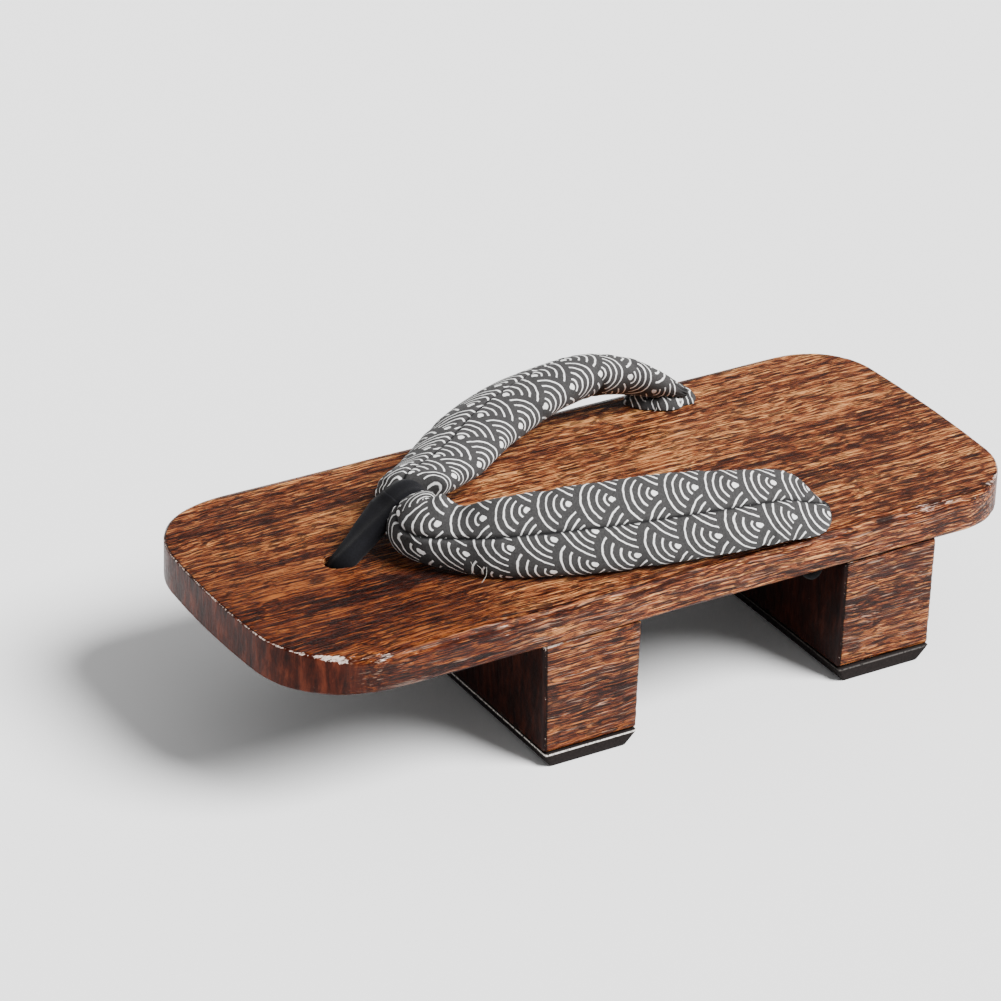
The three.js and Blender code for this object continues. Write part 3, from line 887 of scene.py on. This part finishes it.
def make_tread(end):
    low, high = box_mm(f"tread_{end}")
    points, faces, _ = block_mesh(low, high, BLOCK_STEP["tread"], TREAD_ROUND)
    sunk = 1 - (points[:, 2] - low[2]) / (high[2] - low[2])
    back = (points[:, 1] - low[1]) / (high[1] - low[1])
    points[:, 1] -= TREAD_HEEL_SLANT * sunk * smooth_step(back, 0.5, 1)
    points[:, 1] += TREAD_TOE_ROUND * sunk**2 * (1 - smooth_step(back, 0, 0.5))
    obj = new_object(f"tread_{end}_rubber", points, faces, tread_rubber)
    point_value(obj, "glue", np.full(len(points), GLUE_STRENGTH[end]))
    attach(obj, "root")
    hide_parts(f"tread_{end}")


# Padded strap: one sweep from the far rear hole through the apex to the near rear hole
STRAP_ROWS = np.array(
    [(row[0], -row[1], *row[2:]) for row in reversed(FAR_SECTIONS)] + [APEX_SECTION, *NEAR_SECTIONS], float
)
APEX_ROW = len(FAR_SECTIONS)
LAST_ROW = len(STRAP_ROWS) - 1
RINGS_PER_ROW = 18
SECTION_STEP = 0.01
ROUND_POINTS = 120
SEAM_DEPTH = 0.9
SEAM_WIDTH = 0.8
SEAM_CROWD = 0.72

# How far out the rings of a pad's rounded tip lie, as shares of its length
TIP_RINGS = np.array([0.995, 0.97, 0.92, 0.84, 0.72, 0.56, 0.38, 0.19])


def curve_value(before, start, end, after, share):
    """A smooth curve's value at a share of the way from start to end."""
    bend = 2 * before - 5 * start + 4 * end - after
    twist = 3 * start - before - 3 * end + after
    return 0.5 * (2 * start + (end - before) * share + bend * share**2 + twist * share**3)


def strap_values(at):
    """Smooth values between the strap's rows, at row numbers that need not be whole."""
    row = np.clip(np.floor(at).astype(int), 0, LAST_ROW - 1)
    start = STRAP_ROWS[row]
    end = STRAP_ROWS[row + 1]
    before = np.where(row[:, None] > 0, STRAP_ROWS[np.maximum(row - 1, 0)], 2 * start - end)
    after = np.where(row[:, None] + 2 <= LAST_ROW, STRAP_ROWS[np.minimum(row + 2, LAST_ROW)], 2 * end - start)
    return dict(zip(COLUMNS, curve_value(before, start, end, after, (at - row)[:, None]).T))


def strap_centres(at):
    """Centres, half sizes and lean of the strap's sections."""
    value = strap_values(at)
    half_wide = PAD_WIDTH * value["wide"] / 2
    half_thick = PAD_THICK * value["thick"] / 2
    lean = np.radians(value["lean"])
    half_high = np.hypot(half_wide * np.sin(lean), half_thick * np.cos(lean))
    x = REAR_HOLE_X * value["out"]
    push = APEX_PUSH * np.exp(-(((x - APEX_PUSH_SIDE) / APEX_PUSH_REACH) ** 2))
    y = APEX_Y + STRAP_REACH * value["along"] - push
    z = DECK_TOP + PAD_LIFT * value["lift"] + half_high
    return np.stack([x, y, z], 1), half_wide, half_thick, lean


def unit(vectors):
    return vectors / np.linalg.norm(vectors, axis=-1, keepdims=True)


def strap_sections(at):
    """Centres, axes and half sizes of the strap's sections."""
    centre, half_wide, half_thick, lean = strap_centres(at)
    ahead = strap_centres(np.minimum(at + SECTION_STEP, LAST_ROW))[0]
    behind = strap_centres(np.maximum(at - SECTION_STEP, 0))[0]
    along = unit(ahead - behind)
    side = unit(np.stack([along[:, 1], -along[:, 0], np.zeros(len(at))], 1))
    up = np.cross(side, along)
    cos = np.cos(lean)[:, None]
    sin = np.sin(lean)[:, None]
    return centre, along, side * cos - up * sin, side * sin + up * cos, half_wide, half_thick


# Where the wave scales of the print lie: millimetres along the strap from its apex, and the scale's number.
# The cloth's two edges meet at the seam, so each side of it has scales of its own.
INNER_SCALES = (
    (-137, -11.2),
    (-83.2, -7),
    (-41.8, -4),
    (-14.8, -2),
    (7, 0),
    (57.5, 4),
    (122.3, 9),
    (147, 11),
)
OUTER_SCALES = ((-137, -10.8), (-60.2, -5), (-32.6, -3), (15.4, 1), (64, 5), (147, 11.5))

# Millimetres along the strap, and how far round from the seam the first column of scales lies there
INNER_COLUMN = (
    (-137, -4),
    (-41.8, -3.5),
    (-14, -2),
    (7, -1.9),
    (21.4, -5.2),
    (45, -7.9),
    (57, -8.4),
    (96, -8.3),
    (147, -4),
)
OUTER_COLUMN = ((-137, 3.5), (-32, 4), (15, 4.8), (27, 4.8), (64, 1), (147, -6.5))
INNER_COLUMN_STEP = ((-60, 12), (-20, 11), (20, 10.4))
OUTER_COLUMN_STEP = 10.3
OUTER_SHEAR = 0.45


def table_at(table, at):
    keys, values = np.array(table, float).T
    return np.interp(at, keys, values)


def pattern_place(along, around, inner):
    """Place in the print of points along the strap and around it from the seam, for one side of the seam."""
    if inner:
        u = table_at(INNER_SCALES, along)
        columns = (around - table_at(INNER_COLUMN, along)) / table_at(INNER_COLUMN_STEP, along)
    else:
        columns = (around - table_at(OUTER_COLUMN, along)) / OUTER_COLUMN_STEP
        u = table_at(OUTER_SCALES, along) - OUTER_SHEAR * columns
    return np.broadcast_arrays(u, columns * SCALE_COLUMN)


# Main creases of the pads: millimetres along from the apex (+ on the near pad), degrees round from the seam
# (+ outwards), how many degrees the crease reaches each way, how it slants, its width and its depth
CREASE_COLUMNS = ("along", "turn", "reach", "slant", "width", "depth")
CREASES = (
    (12, -78, 65, 0, 12, -3.8),
    (5, -80, 60, 0, 6, -1.6),
    (20, -88, 44, 0, 4.8, -2.2),
    (-16, 40, 45, 0, 9, -1.5),
    (8, -8, 20, 0.06, 1.1, 0.7),
    (12, 18, 26, -0.05, 1.3, 0.6),
    (22.5, -72, 26, 0.04, 1.3, 1.1),
    (31, 70, 45, 0.03, 3, 0.5),
    (52, -80, 40, -0.03, 3.5, 0.45),
    (78, 75, 45, 0.04, 4, 0.45),
    (104, -75, 40, 0.03, 3.5, 0.4),
    (118, 80, 40, -0.05, 2.2, 0.7),
    (131, -30, 34, 0.03, 1.2, 0.6),
    (142, -70, 60, 0, 12, 2.6),
    (-6, -34, 24, 0.16, 1.4, 1.2),
    (-14, 40, 26, -0.08, 1.2, 0.6),
    (-11, 20, 22, -0.05, 0.9, 0.4),
    (-27, -80, 40, 0.04, 3, 0.5),
    (-50, 60, 40, -0.03, 3.5, 0.4),
    (-74, -85, 45, 0.05, 3, 0.5),
    (-105, -140, 40, 0.03, 2, 1.0),
    (-118, -60, 45, 0.05, 2.6, 0.5),
    (-129, 10, 40, -0.04, 1.6, 0.5),
)
CREASE_RIDGE = 1.2

# Puckers beside the seam, lumps of the filling (depth, scale and seed) and pleats at the gathered tips
PUCKER_STEP = 3.4
PUCKER_DEPTH = 0.12
PUCKER_REACH = 24
PUCKER_STRAY = 2.5
PUCKER_STRAY_SCALE = 0.11
LUMPS = ((0.35, 0.06, 3.0), (0.14, 0.2, 8.0))
PLEAT_LENGTH = 11
PLEAT_END = 2
PLEAT_DEPTH = 0.75
PLEAT_WIDTH = 0.22
PLEAT_SCALE_ROUND = 3.2
PLEAT_SCALE_ALONG = 0.07
PLEAT_SEED = 5.0
WAIST_FIRMNESS = 0.8

# How much painted shade each of them leaves on the cloth
SEAM_SHADE = 0.9
CREASE_SHADE = 0.55
PLEAT_SHADE = 0.6
TIP_SHADE = 0.3
DEEPEST_SHADE = 0.95


def crease_depth(length, turn):
    """Depth of the creases at rings along the strap and angles round it, with low ridges beside them."""
    depth = np.zeros((len(length), len(turn)))
    for row in CREASES:
        crease = dict(zip(CREASE_COLUMNS, row))
        away = (turn - crease["turn"] + 180) % 360 - 180
        fade = np.exp(-((away / crease["reach"]) ** 2))
        across = (length[:, None] - crease["along"] - crease["slant"] * away) / crease["width"]
        depth += crease["depth"] * fade * (1 - CREASE_RIDGE * across**2) * np.exp(-(across**2))
    return depth


def round_angles():
    """Angles round a section from the seam and back, closest together at the seam."""
    share = np.arange(ROUND_POINTS) / ROUND_POINTS
    crowding = SEAM_CROWD / (2 * math.pi) * np.sin(2 * math.pi * share)
    return math.pi / 2 - 2 * math.pi * (share - crowding)


def waist_share(x):
    """1 under the thong's loop and 0 beside it, across the shoe."""
    away = np.abs(x - LOOP_SIDE)
    return 1 - smooth_step(away, BAND_WIDTH / 2 - 1.2, BAND_WIDTH / 2 + 2.2)


def pleat_share(length, angle):
    """1 in the folds of the gathered tips and 0 between them, and how near each ring is to a tip."""
    places = np.zeros((len(length), len(angle), 3))
    places[..., 0] = PLEAT_SCALE_ROUND * np.cos(angle)
    places[..., 1] = PLEAT_SCALE_ROUND * np.sin(angle)
    places[..., 2] = PLEAT_SCALE_ALONG * length[:, None]
    folds = np.abs(noise_at(places.reshape(-1, 3), 1.0, PLEAT_SEED)).reshape(places.shape[:2])
    at_near_tip = smooth_step(length, length[-1] - PLEAT_LENGTH, length[-1] - PLEAT_END)
    at_far_tip = 1 - smooth_step(length, length[0] + PLEAT_END, length[0] + PLEAT_LENGTH)
    at_tip = np.maximum(at_near_tip, at_far_tip)[:, None]
    return np.clip(1 - folds / PLEAT_WIDTH, 0, None) * at_tip, at_tip


def strap_rings():
    """All points of the padded strap, ring by ring, their distances along and around it and their shade."""
    rows = np.linspace(0, LAST_ROW, LAST_ROW * RINGS_PER_ROW + 1)
    tips = len(TIP_RINGS)
    at = np.concatenate([np.zeros(tips), rows, np.full(tips, float(LAST_ROW))])
    tip_share = np.concatenate([-TIP_RINGS, np.zeros(len(rows)), TIP_RINGS[::-1]])
    size = np.sqrt(1 - tip_share**2)
    centre, along, wide, face, half_wide, half_thick = strap_sections(at)
    centre = centre + along * (PAD_TIP * tip_share)[:, None]
    length = walked(centre)
    length -= length[tips + APEX_ROW * RINGS_PER_ROW]

    # The waist under the thong
    pinch = waist_share(centre[:, 0])
    half_wide = half_wide * size
    half_thick = half_thick * size
    half_wide += (WAIST_WIDE / 2 - GAP - half_wide) * pinch
    half_thick += (WAIST_THICK / 2 - GAP - half_thick) * pinch
    centre = centre + wide * (LOOP_FORWARD * pinch)[:, None]

    angle = round_angles()
    across = half_wide[:, None] * np.cos(angle)
    seam = np.exp(-((across / SEAM_WIDTH) ** 2)) * (np.sin(angle) > 0)
    out = half_thick[:, None] * np.sin(angle) - SEAM_DEPTH * size[:, None] * seam
    points = centre[:, None] + wide[:, None] * across[..., None] + face[:, None] * out[..., None]

    # Creases, puckers, lumps and pleats
    turn = (90 - np.degrees(angle) + 180) % 360 - 180
    crease = crease_depth(length, turn)
    stray = PUCKER_STRAY * noise_at(length[:, None] * (1, 0, 0), PUCKER_STRAY_SCALE)
    wave = np.sin(2 * math.pi * length / PUCKER_STEP + stray)
    pucker = PUCKER_DEPTH * wave[:, None] * np.exp(-((turn / PUCKER_REACH) ** 2))
    flat = points.reshape(-1, 3)
    lumps = sum(depth * noise_at(flat, scale, seed) for depth, scale, seed in LUMPS)
    pleats, at_tip = pleat_share(length, angle)
    inward = crease + pucker - lumps.reshape(crease.shape) + PLEAT_DEPTH * pleats
    inward = inward * (size * (1 - WAIST_FIRMNESS * pinch))[:, None]
    points = points - unit(points - centre[:, None] + 1e-9) * inward[..., None]
    points[..., 2] = np.maximum(points[..., 2], DECK_TOP + GAP)
    dark = SEAM_SHADE * seam**4 + CREASE_SHADE * np.clip(crease, 0, 1)
    dark += PLEAT_SHADE * np.clip(2 * PLEAT_DEPTH * pleats, 0, 1) + TIP_SHADE * at_tip
    around = np.array([walked(ring) for ring in np.concatenate([points, points[:, :1]], 1)])
    return points, length, around, np.clip(dark, 0, DEEPEST_SHADE)


def make_strap():
    points, length, around, dark = strap_rings()
    rings, count = points.shape[:2]
    obj = new_object("strap_pads", points.reshape(-1, 3), tube_faces(rings, count), strap_cloth)
    point_value(obj, "shade", dark.ravel())

    # The print: U and V for each corner of each face
    layer = obj.data.uv_layers.new(name="pattern")
    outer = pattern_place(length[:, None], around, False)
    inner = pattern_place(length[:, None], around - around[:, -1:], True)
    uv = []
    for ring in range(rings - 1):
        for i in range(count):
            u, v = outer if i < count // 2 else inner
            for r, c in ((ring, i), (ring, i + 1), (ring + 1, i + 1), (ring + 1, i)):
                uv.extend((u[r, c], v[r, c]))
    uv.extend([0.0] * (2 * 2 * count))
    layer.data.foreach_set("uv", uv)
    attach(obj, "root")
    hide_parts("strap")


# Toe thong
BAND_ROUND = 56
BAND_SQUARENESS = 0.7
FOLD_WAVE = 4.5
LOOP_FOLDS = 0.25
LOOP_RINGS = 72
STEM_FOLDS = 0.35
STEM_FOLD_DRIFT = 6
STEM_RINGS = 90
STEM_MOUTH = (1.2, 2.4, 1)
STEM_SAG = 0.3


def band_ring(centre, tangent, width, thick, folds, drift=0.0):
    """One ring of a flat folded band of cloth across X."""
    across = np.array([1.0, 0, 0])
    out = unit(np.cross(tangent, across))
    angle = full_turn(BAND_ROUND)
    x = np.sign(np.cos(angle)) * np.abs(np.cos(angle)) ** BAND_SQUARENESS
    y = np.sign(np.sin(angle)) * np.abs(np.sin(angle)) ** BAND_SQUARENESS
    half_thick = thick / 2 - folds * np.sin(FOLD_WAVE * x + drift)
    return centre + across * (width / 2 * x)[:, None] + out * (half_thick * y)[:, None]


def spline(points, count):
    """Points evenly spread on a smooth curve through the given ones."""
    points = np.array(points, float)
    padded = np.concatenate([[2 * points[0] - points[1]], points, [2 * points[-1] - points[-2]]])
    fine = []
    for i in range(len(points) - 1):
        for share in np.linspace(0, 1, 40, endpoint=False):
            fine.append(curve_value(*padded[i : i + 4], share))
    fine = np.array([*fine, points[-1]])
    length = walked(fine)
    spread = np.linspace(0, length[-1], count)
    return np.stack([np.interp(spread, length, fine[:, axis]) for axis in range(3)], 1)


def waist_section():
    """Centre of the waist under the loop, and the directions of its width and of its face."""
    lean = math.radians(APEX_SECTION[COLUMNS.index("lean")])
    centres = strap_centres(np.linspace(APEX_ROW - 1, APEX_ROW + 1, 81))[0]
    centre = centres[np.argmin(np.abs(centres[:, 0] - LOOP_SIDE))]
    wide = np.array([0, -math.cos(lean), -math.sin(lean)])
    face = np.array([0, -math.sin(lean), math.cos(lean)])
    return centre, wide, face


def knot_mesh(x, y):
    """An overhand knot pulled tight against the underside of the deck."""
    turns = full_turn(KNOT_RINGS)
    reach = KNOT_RADIUS - KNOT_CORD
    rise = KNOT_HEIGHT / 2 - KNOT_CORD
    path = np.stack([
        x + reach / 3 * (np.sin(turns) + 2 * np.sin(2 * turns)),
        y + reach / 3 * (np.cos(turns) - 2 * np.cos(2 * turns)),
        DECK_BOTTOM - GAP - KNOT_HEIGHT / 2 - rise * np.sin(3 * turns),
    ], 1)
    return ring_tube(path, KNOT_CORD, closed=True)


def ring_tube(path, radius, closed=False, count=16):
    """Points and faces of a round tube along a path."""
    if closed:
        tangent = unit(np.roll(path, -1, 0) - np.roll(path, 1, 0))
    else:
        tangent = unit(np.gradient(path, axis=0))
    normal = np.cross(tangent[0], (0.3, 0.5, 0.8))
    normals = []
    for t in tangent:
        normal = unit(normal - t * np.dot(normal, t))
        normals.append(normal)
    normals = np.array(normals)[:, None]
    binormals = np.cross(tangent, normals[:, 0])[:, None]
    angle = full_turn(count)[None, :, None]
    points = path[:, None] + radius * np.cos(angle) * normals + radius * np.sin(angle) * binormals
    return points.reshape(-1, 3), tube_faces(len(path), count, closed)


def join_meshes(parts):
    """One list of points and one of faces from several."""
    faces = []
    start = 0
    for part_points, part_faces in parts:
        faces.extend([[start + i for i in face] for face in part_faces])
        start += len(part_points)
    return np.concatenate([part_points for part_points, _ in parts]), faces


def make_thong():
    centre, wide, face = waist_section()
    centre = centre + wide * LOOP_FORWARD
    wide_radius = (WAIST_WIDE + BAND_THICK) / 2
    face_radius = (WAIST_THICK + BAND_THICK) / 2
    loop = []
    for turn in -full_turn(LOOP_RINGS):
        point = centre + wide * wide_radius * math.cos(turn) + face * face_radius * math.sin(turn)
        tangent = wide * wide_radius * math.sin(turn) - face * face_radius * math.cos(turn)
        loop.append(band_ring(point, unit(tangent), LOOP_WIDTH, BAND_THICK, LOOP_FOLDS))

    # The stem hangs from the top of the loop over its front and goes down through the front hole
    top = centre + face * (WAIST_THICK / 2 + BAND_THICK * 0.8)
    front = centre + wide * WAIST_WIDE / 2 + face * (WAIST_THICK / 2 + BAND_THICK * 0.3)
    mouth = np.array([0, FRONT_HOLE_Y, DECK_TOP]) + STEM_MOUTH
    path = spline([
        top,
        front,
        (front + mouth) / 2 - (0, 0, STEM_SAG),
        mouth,
        (0, FRONT_HOLE_Y, DECK_TOP - 3.5),
        (0, FRONT_HOLE_Y, DECK_BOTTOM - KNOT_HEIGHT / 2),
    ], STEM_RINGS)
    shares = walked(path) / walked(path)[-1]
    stem = []
    for share, point, tangent in zip(shares, path, unit(np.gradient(path, axis=0))):
        width = table_at(STEM_WIDTHS, share)
        thick = table_at(STEM_THICKS, share)
        stem.append(band_ring(point, tangent, width, thick, STEM_FOLDS, STEM_FOLD_DRIFT * share))
    points, faces = join_meshes([
        (np.concatenate(loop), tube_faces(len(loop), BAND_ROUND, closed=True)),
        (np.concatenate(stem), tube_faces(len(stem), BAND_ROUND)),
        knot_mesh(0, FRONT_HOLE_Y),
    ])
    obj = new_object("toe_thong", points, faces, thong_cloth)
    point_value(obj, "shade", np.zeros(len(points)))
    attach(obj, "root")
    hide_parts("thong")


# Where each pad's end is gathered and tucked down into its hole: middle, half sizes, turn and height
TUCK_COLUMNS = ("x", "y", "half_wide", "half_long", "turn", "height")
TUCKS = (
    (-43, 55, 6.8, 12, -19, 4.2),
    (41.4, 53, 6.2, 6.6, 8, 3),
)
TUCK_ROUND = 96
TUCK_ROWS = 40
TUCK_FULLNESS = 0.55
TUCK_SEED = 20.0
TUCK_SEED_STEP = 7

# Rays that fold a tuck's cloth towards its hole, its crumples and how its print lies
RAY_SCALE = 2.4
RAY_RIM = 0.16
RAY_WIDTH = 0.26
RAY_DEPTH = 0.45
RAY_SHADE = 0.8
CRUMPLE_DEPTH = 0.22
CRUMPLE_SCALE = 0.35
TUCK_SCALE_LENGTH = 9
TUCK_PRINT_LEAN = (0.6, 0.3)


def tuck_mesh(tuck, seed):
    """Points, faces, places in the print and shade of one gathered end, which lies flat on the deck."""
    theta = full_turn(TUCK_ROUND)
    phi = np.linspace(-math.pi / 2, math.pi / 2, TUCK_ROWS + 2)[1:-1]
    cos = np.cos(theta)
    sin = np.sin(theta)
    level = np.zeros(TUCK_ROUND)
    rays = noise_at(np.stack([cos * RAY_SCALE, sin * RAY_SCALE, level], 1), 1.0, seed)
    rim = 1 + RAY_RIM * rays
    points = []
    dark = []
    for angle in phi:
        radius = math.cos(angle) ** TUCK_FULLNESS
        lift = max(math.sin(angle), 0.0)
        a = tuck["half_wide"] * radius * rim * cos
        b = tuck["half_long"] * radius * rim * sin
        crumple = noise_at(np.stack([a, b, level + lift * 3], 1), CRUMPLE_SCALE, seed + 4)
        press = np.clip(1 - np.abs(rays) / RAY_WIDTH, 0, None) * (1 - radius / 2)
        height = tuck["height"] * lift * (1 - RAY_DEPTH * press + CRUMPLE_DEPTH * crumple)
        points.append(np.stack([a, b, DECK_TOP + GAP + height], 1))
        dark.append(RAY_SHADE * press * (lift > 0))
    flat = np.concatenate(points)
    turn = math.radians(tuck["turn"])
    x = tuck["x"] + flat[:, 0] * math.cos(turn) - flat[:, 1] * math.sin(turn)
    y = tuck["y"] + flat[:, 0] * math.sin(turn) + flat[:, 1] * math.cos(turn)
    place = flat[:, :2] + flat[:, 2:] * TUCK_PRINT_LEAN
    return np.stack([x, y, flat[:, 2]], 1), tube_faces(TUCK_ROWS, TUCK_ROUND), place, np.concatenate(dark)


def make_tucks():
    tucks = []
    for number, row in enumerate(TUCKS):
        tucks.append(tuck_mesh(dict(zip(TUCK_COLUMNS, row)), TUCK_SEED + TUCK_SEED_STEP * number))
    points, faces = join_meshes([tuck[:2] for tuck in tucks])
    obj = new_object("strap_ends", points, faces, strap_cloth)
    point_value(obj, "shade", np.concatenate([tuck[3] for tuck in tucks]))
    layer = obj.data.uv_layers.new(name="pattern")
    corners = [corner for face in faces for corner in face]
    place = np.concatenate([tuck[2] for tuck in tucks])
    layer.data.foreach_set("uv", (place[corners][:, ::-1] / TUCK_SCALE_LENGTH).ravel())
    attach(obj, "root")


# Loose threads that stick out of the pads, as points from root to tip
THREADS = (
    ((28.2, -57.8, 61.2), (29.8, -57.9, 59.8), (30, -58.6, 58.2)),
    ((29.6, -56.4, 60.4), (31, -55.6, 59.4), (32, -55.6, 58.4)),
    ((31, -54, 60), (32.6, -55, 58), (33.4, -57, 56.4)),
    ((-39.5, 51, 57.5), (-37.5, 50.2, 56), (-36.8, 49, 55.5)),
)
THREAD_RADIUS = 0.055


def make_threads():
    parts = [ring_tube(spline(points, 10), THREAD_RADIUS, count=6) for points in THREADS]
    points, faces = join_meshes(parts)
    obj = new_object("loose_threads", points, faces, thread_cotton)
    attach(obj, "root")


TAIL_SLACK = 0.2


def make_tails():
    """The strap's cord tails, down through the rear holes to their knots."""
    parts = []
    for side, row in ((-1, 0), (1, LAST_ROW)):
        end = strap_centres(np.array([float(row)]))[0][0]
        x = side * REAR_HOLE_X
        path = spline([
            end,
            ((end[0] + x) / 2, (end[1] + REAR_HOLE_Y) / 2 + TAIL_RADIUS / 3, DECK_TOP + GAP),
            (x, REAR_HOLE_Y + TAIL_RADIUS / 6, DECK_TOP - REAR_SINK_DEPTH),
            (x, REAR_HOLE_Y, DECK_BOTTOM),
            (x, REAR_HOLE_Y, DECK_BOTTOM - KNOT_HEIGHT / 2),
        ], 40)
        parts.append(ring_tube(path, TAIL_RADIUS - TAIL_SLACK))
        parts.append(knot_mesh(x, REAR_HOLE_Y))
    points, faces = join_meshes(parts)
    obj = new_object("strap_tails", points, faces, thong_cloth)
    point_value(obj, "shade", np.ones(len(points)))
    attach(obj, "root")


# Floor, light and camera, with the lamps' places and sizes in metres
FLOOR_REACH = 4000
FLOOR_GREY = 0.95
WORLD_STRENGTH = 0.46
LAMPS = {
    "key": ("SUN", (0.6, 0.5, 0.85), {"angle": math.radians(32), "energy": 9.5}),
    "sheen": ("AREA", (-0.8, 1.3, 0.8), {"size": 0.7, "energy": 3}),
}


def make_stage():
    looks = Looks("floor")
    floor = looks.finish(Base_Color=(FLOOR_GREY,) * 3, Roughness=0.9)
    corners = ((-1, -1, 0), (1, -1, 0), (1, 1, 0), (-1, 1, 0))
    obj = new_object("floor", np.array(corners) * FLOOR_REACH, [[0, 1, 2, 3]], floor, smooth=False)


def make_light():
    world = bpy.data.worlds.new("studio")
    world.use_nodes = True
    background = world.node_tree.nodes["Background"]
    background.inputs["Color"].default_value = (1, 1, 1, 1)
    background.inputs["Strength"].default_value = WORLD_STRENGTH
    bpy.context.scene.world = world
    for name, (kind, place, settings) in LAMPS.items():
        data = bpy.data.lights.new(name, kind)
        for setting, value in settings.items():
            setattr(data, setting, value)
        lamp = bpy.data.objects.new(name, data)
        lamp.location = place
        lamp.rotation_mode = "QUATERNION"
        lamp.rotation_quaternion = (-Vector(place)).to_track_quat("-Z", "Y")
        bpy.context.scene.collection.objects.link(lamp)


def make_camera():
    azimuth = math.radians(VIEW_AZIMUTH)
    elevation = math.radians(VIEW_ELEVATION)
    back = Vector((
        math.sin(azimuth) * math.cos(elevation),
        -math.cos(azimuth) * math.cos(elevation),
        math.sin(elevation),
    ))
    data = bpy.data.cameras.new("camera")
    data.lens = VIEW_LENS
    data.sensor_width = SENSOR
    data.clip_end = 20
    camera = bpy.data.objects.new("camera", data)
    camera.location = (Vector(VIEW_TARGET) + back * VIEW_DISTANCE) * MM
    camera.rotation_mode = "QUATERNION"
    roll = Quaternion((0, 0, 1), math.radians(VIEW_ROLL))
    camera.rotation_quaternion = (-back).to_track_quat("-Z", "Y") @ roll
    bpy.context.scene.collection.objects.link(camera)
    bpy.context.scene.camera = camera


make_camera()
make_stage()
make_light()
make_deck()
for tooth_end in ("front", "rear"):
    make_tooth(tooth_end)
    make_tread(tooth_end)
make_strap()
make_tucks()
make_threads()
make_tails()
make_thong()
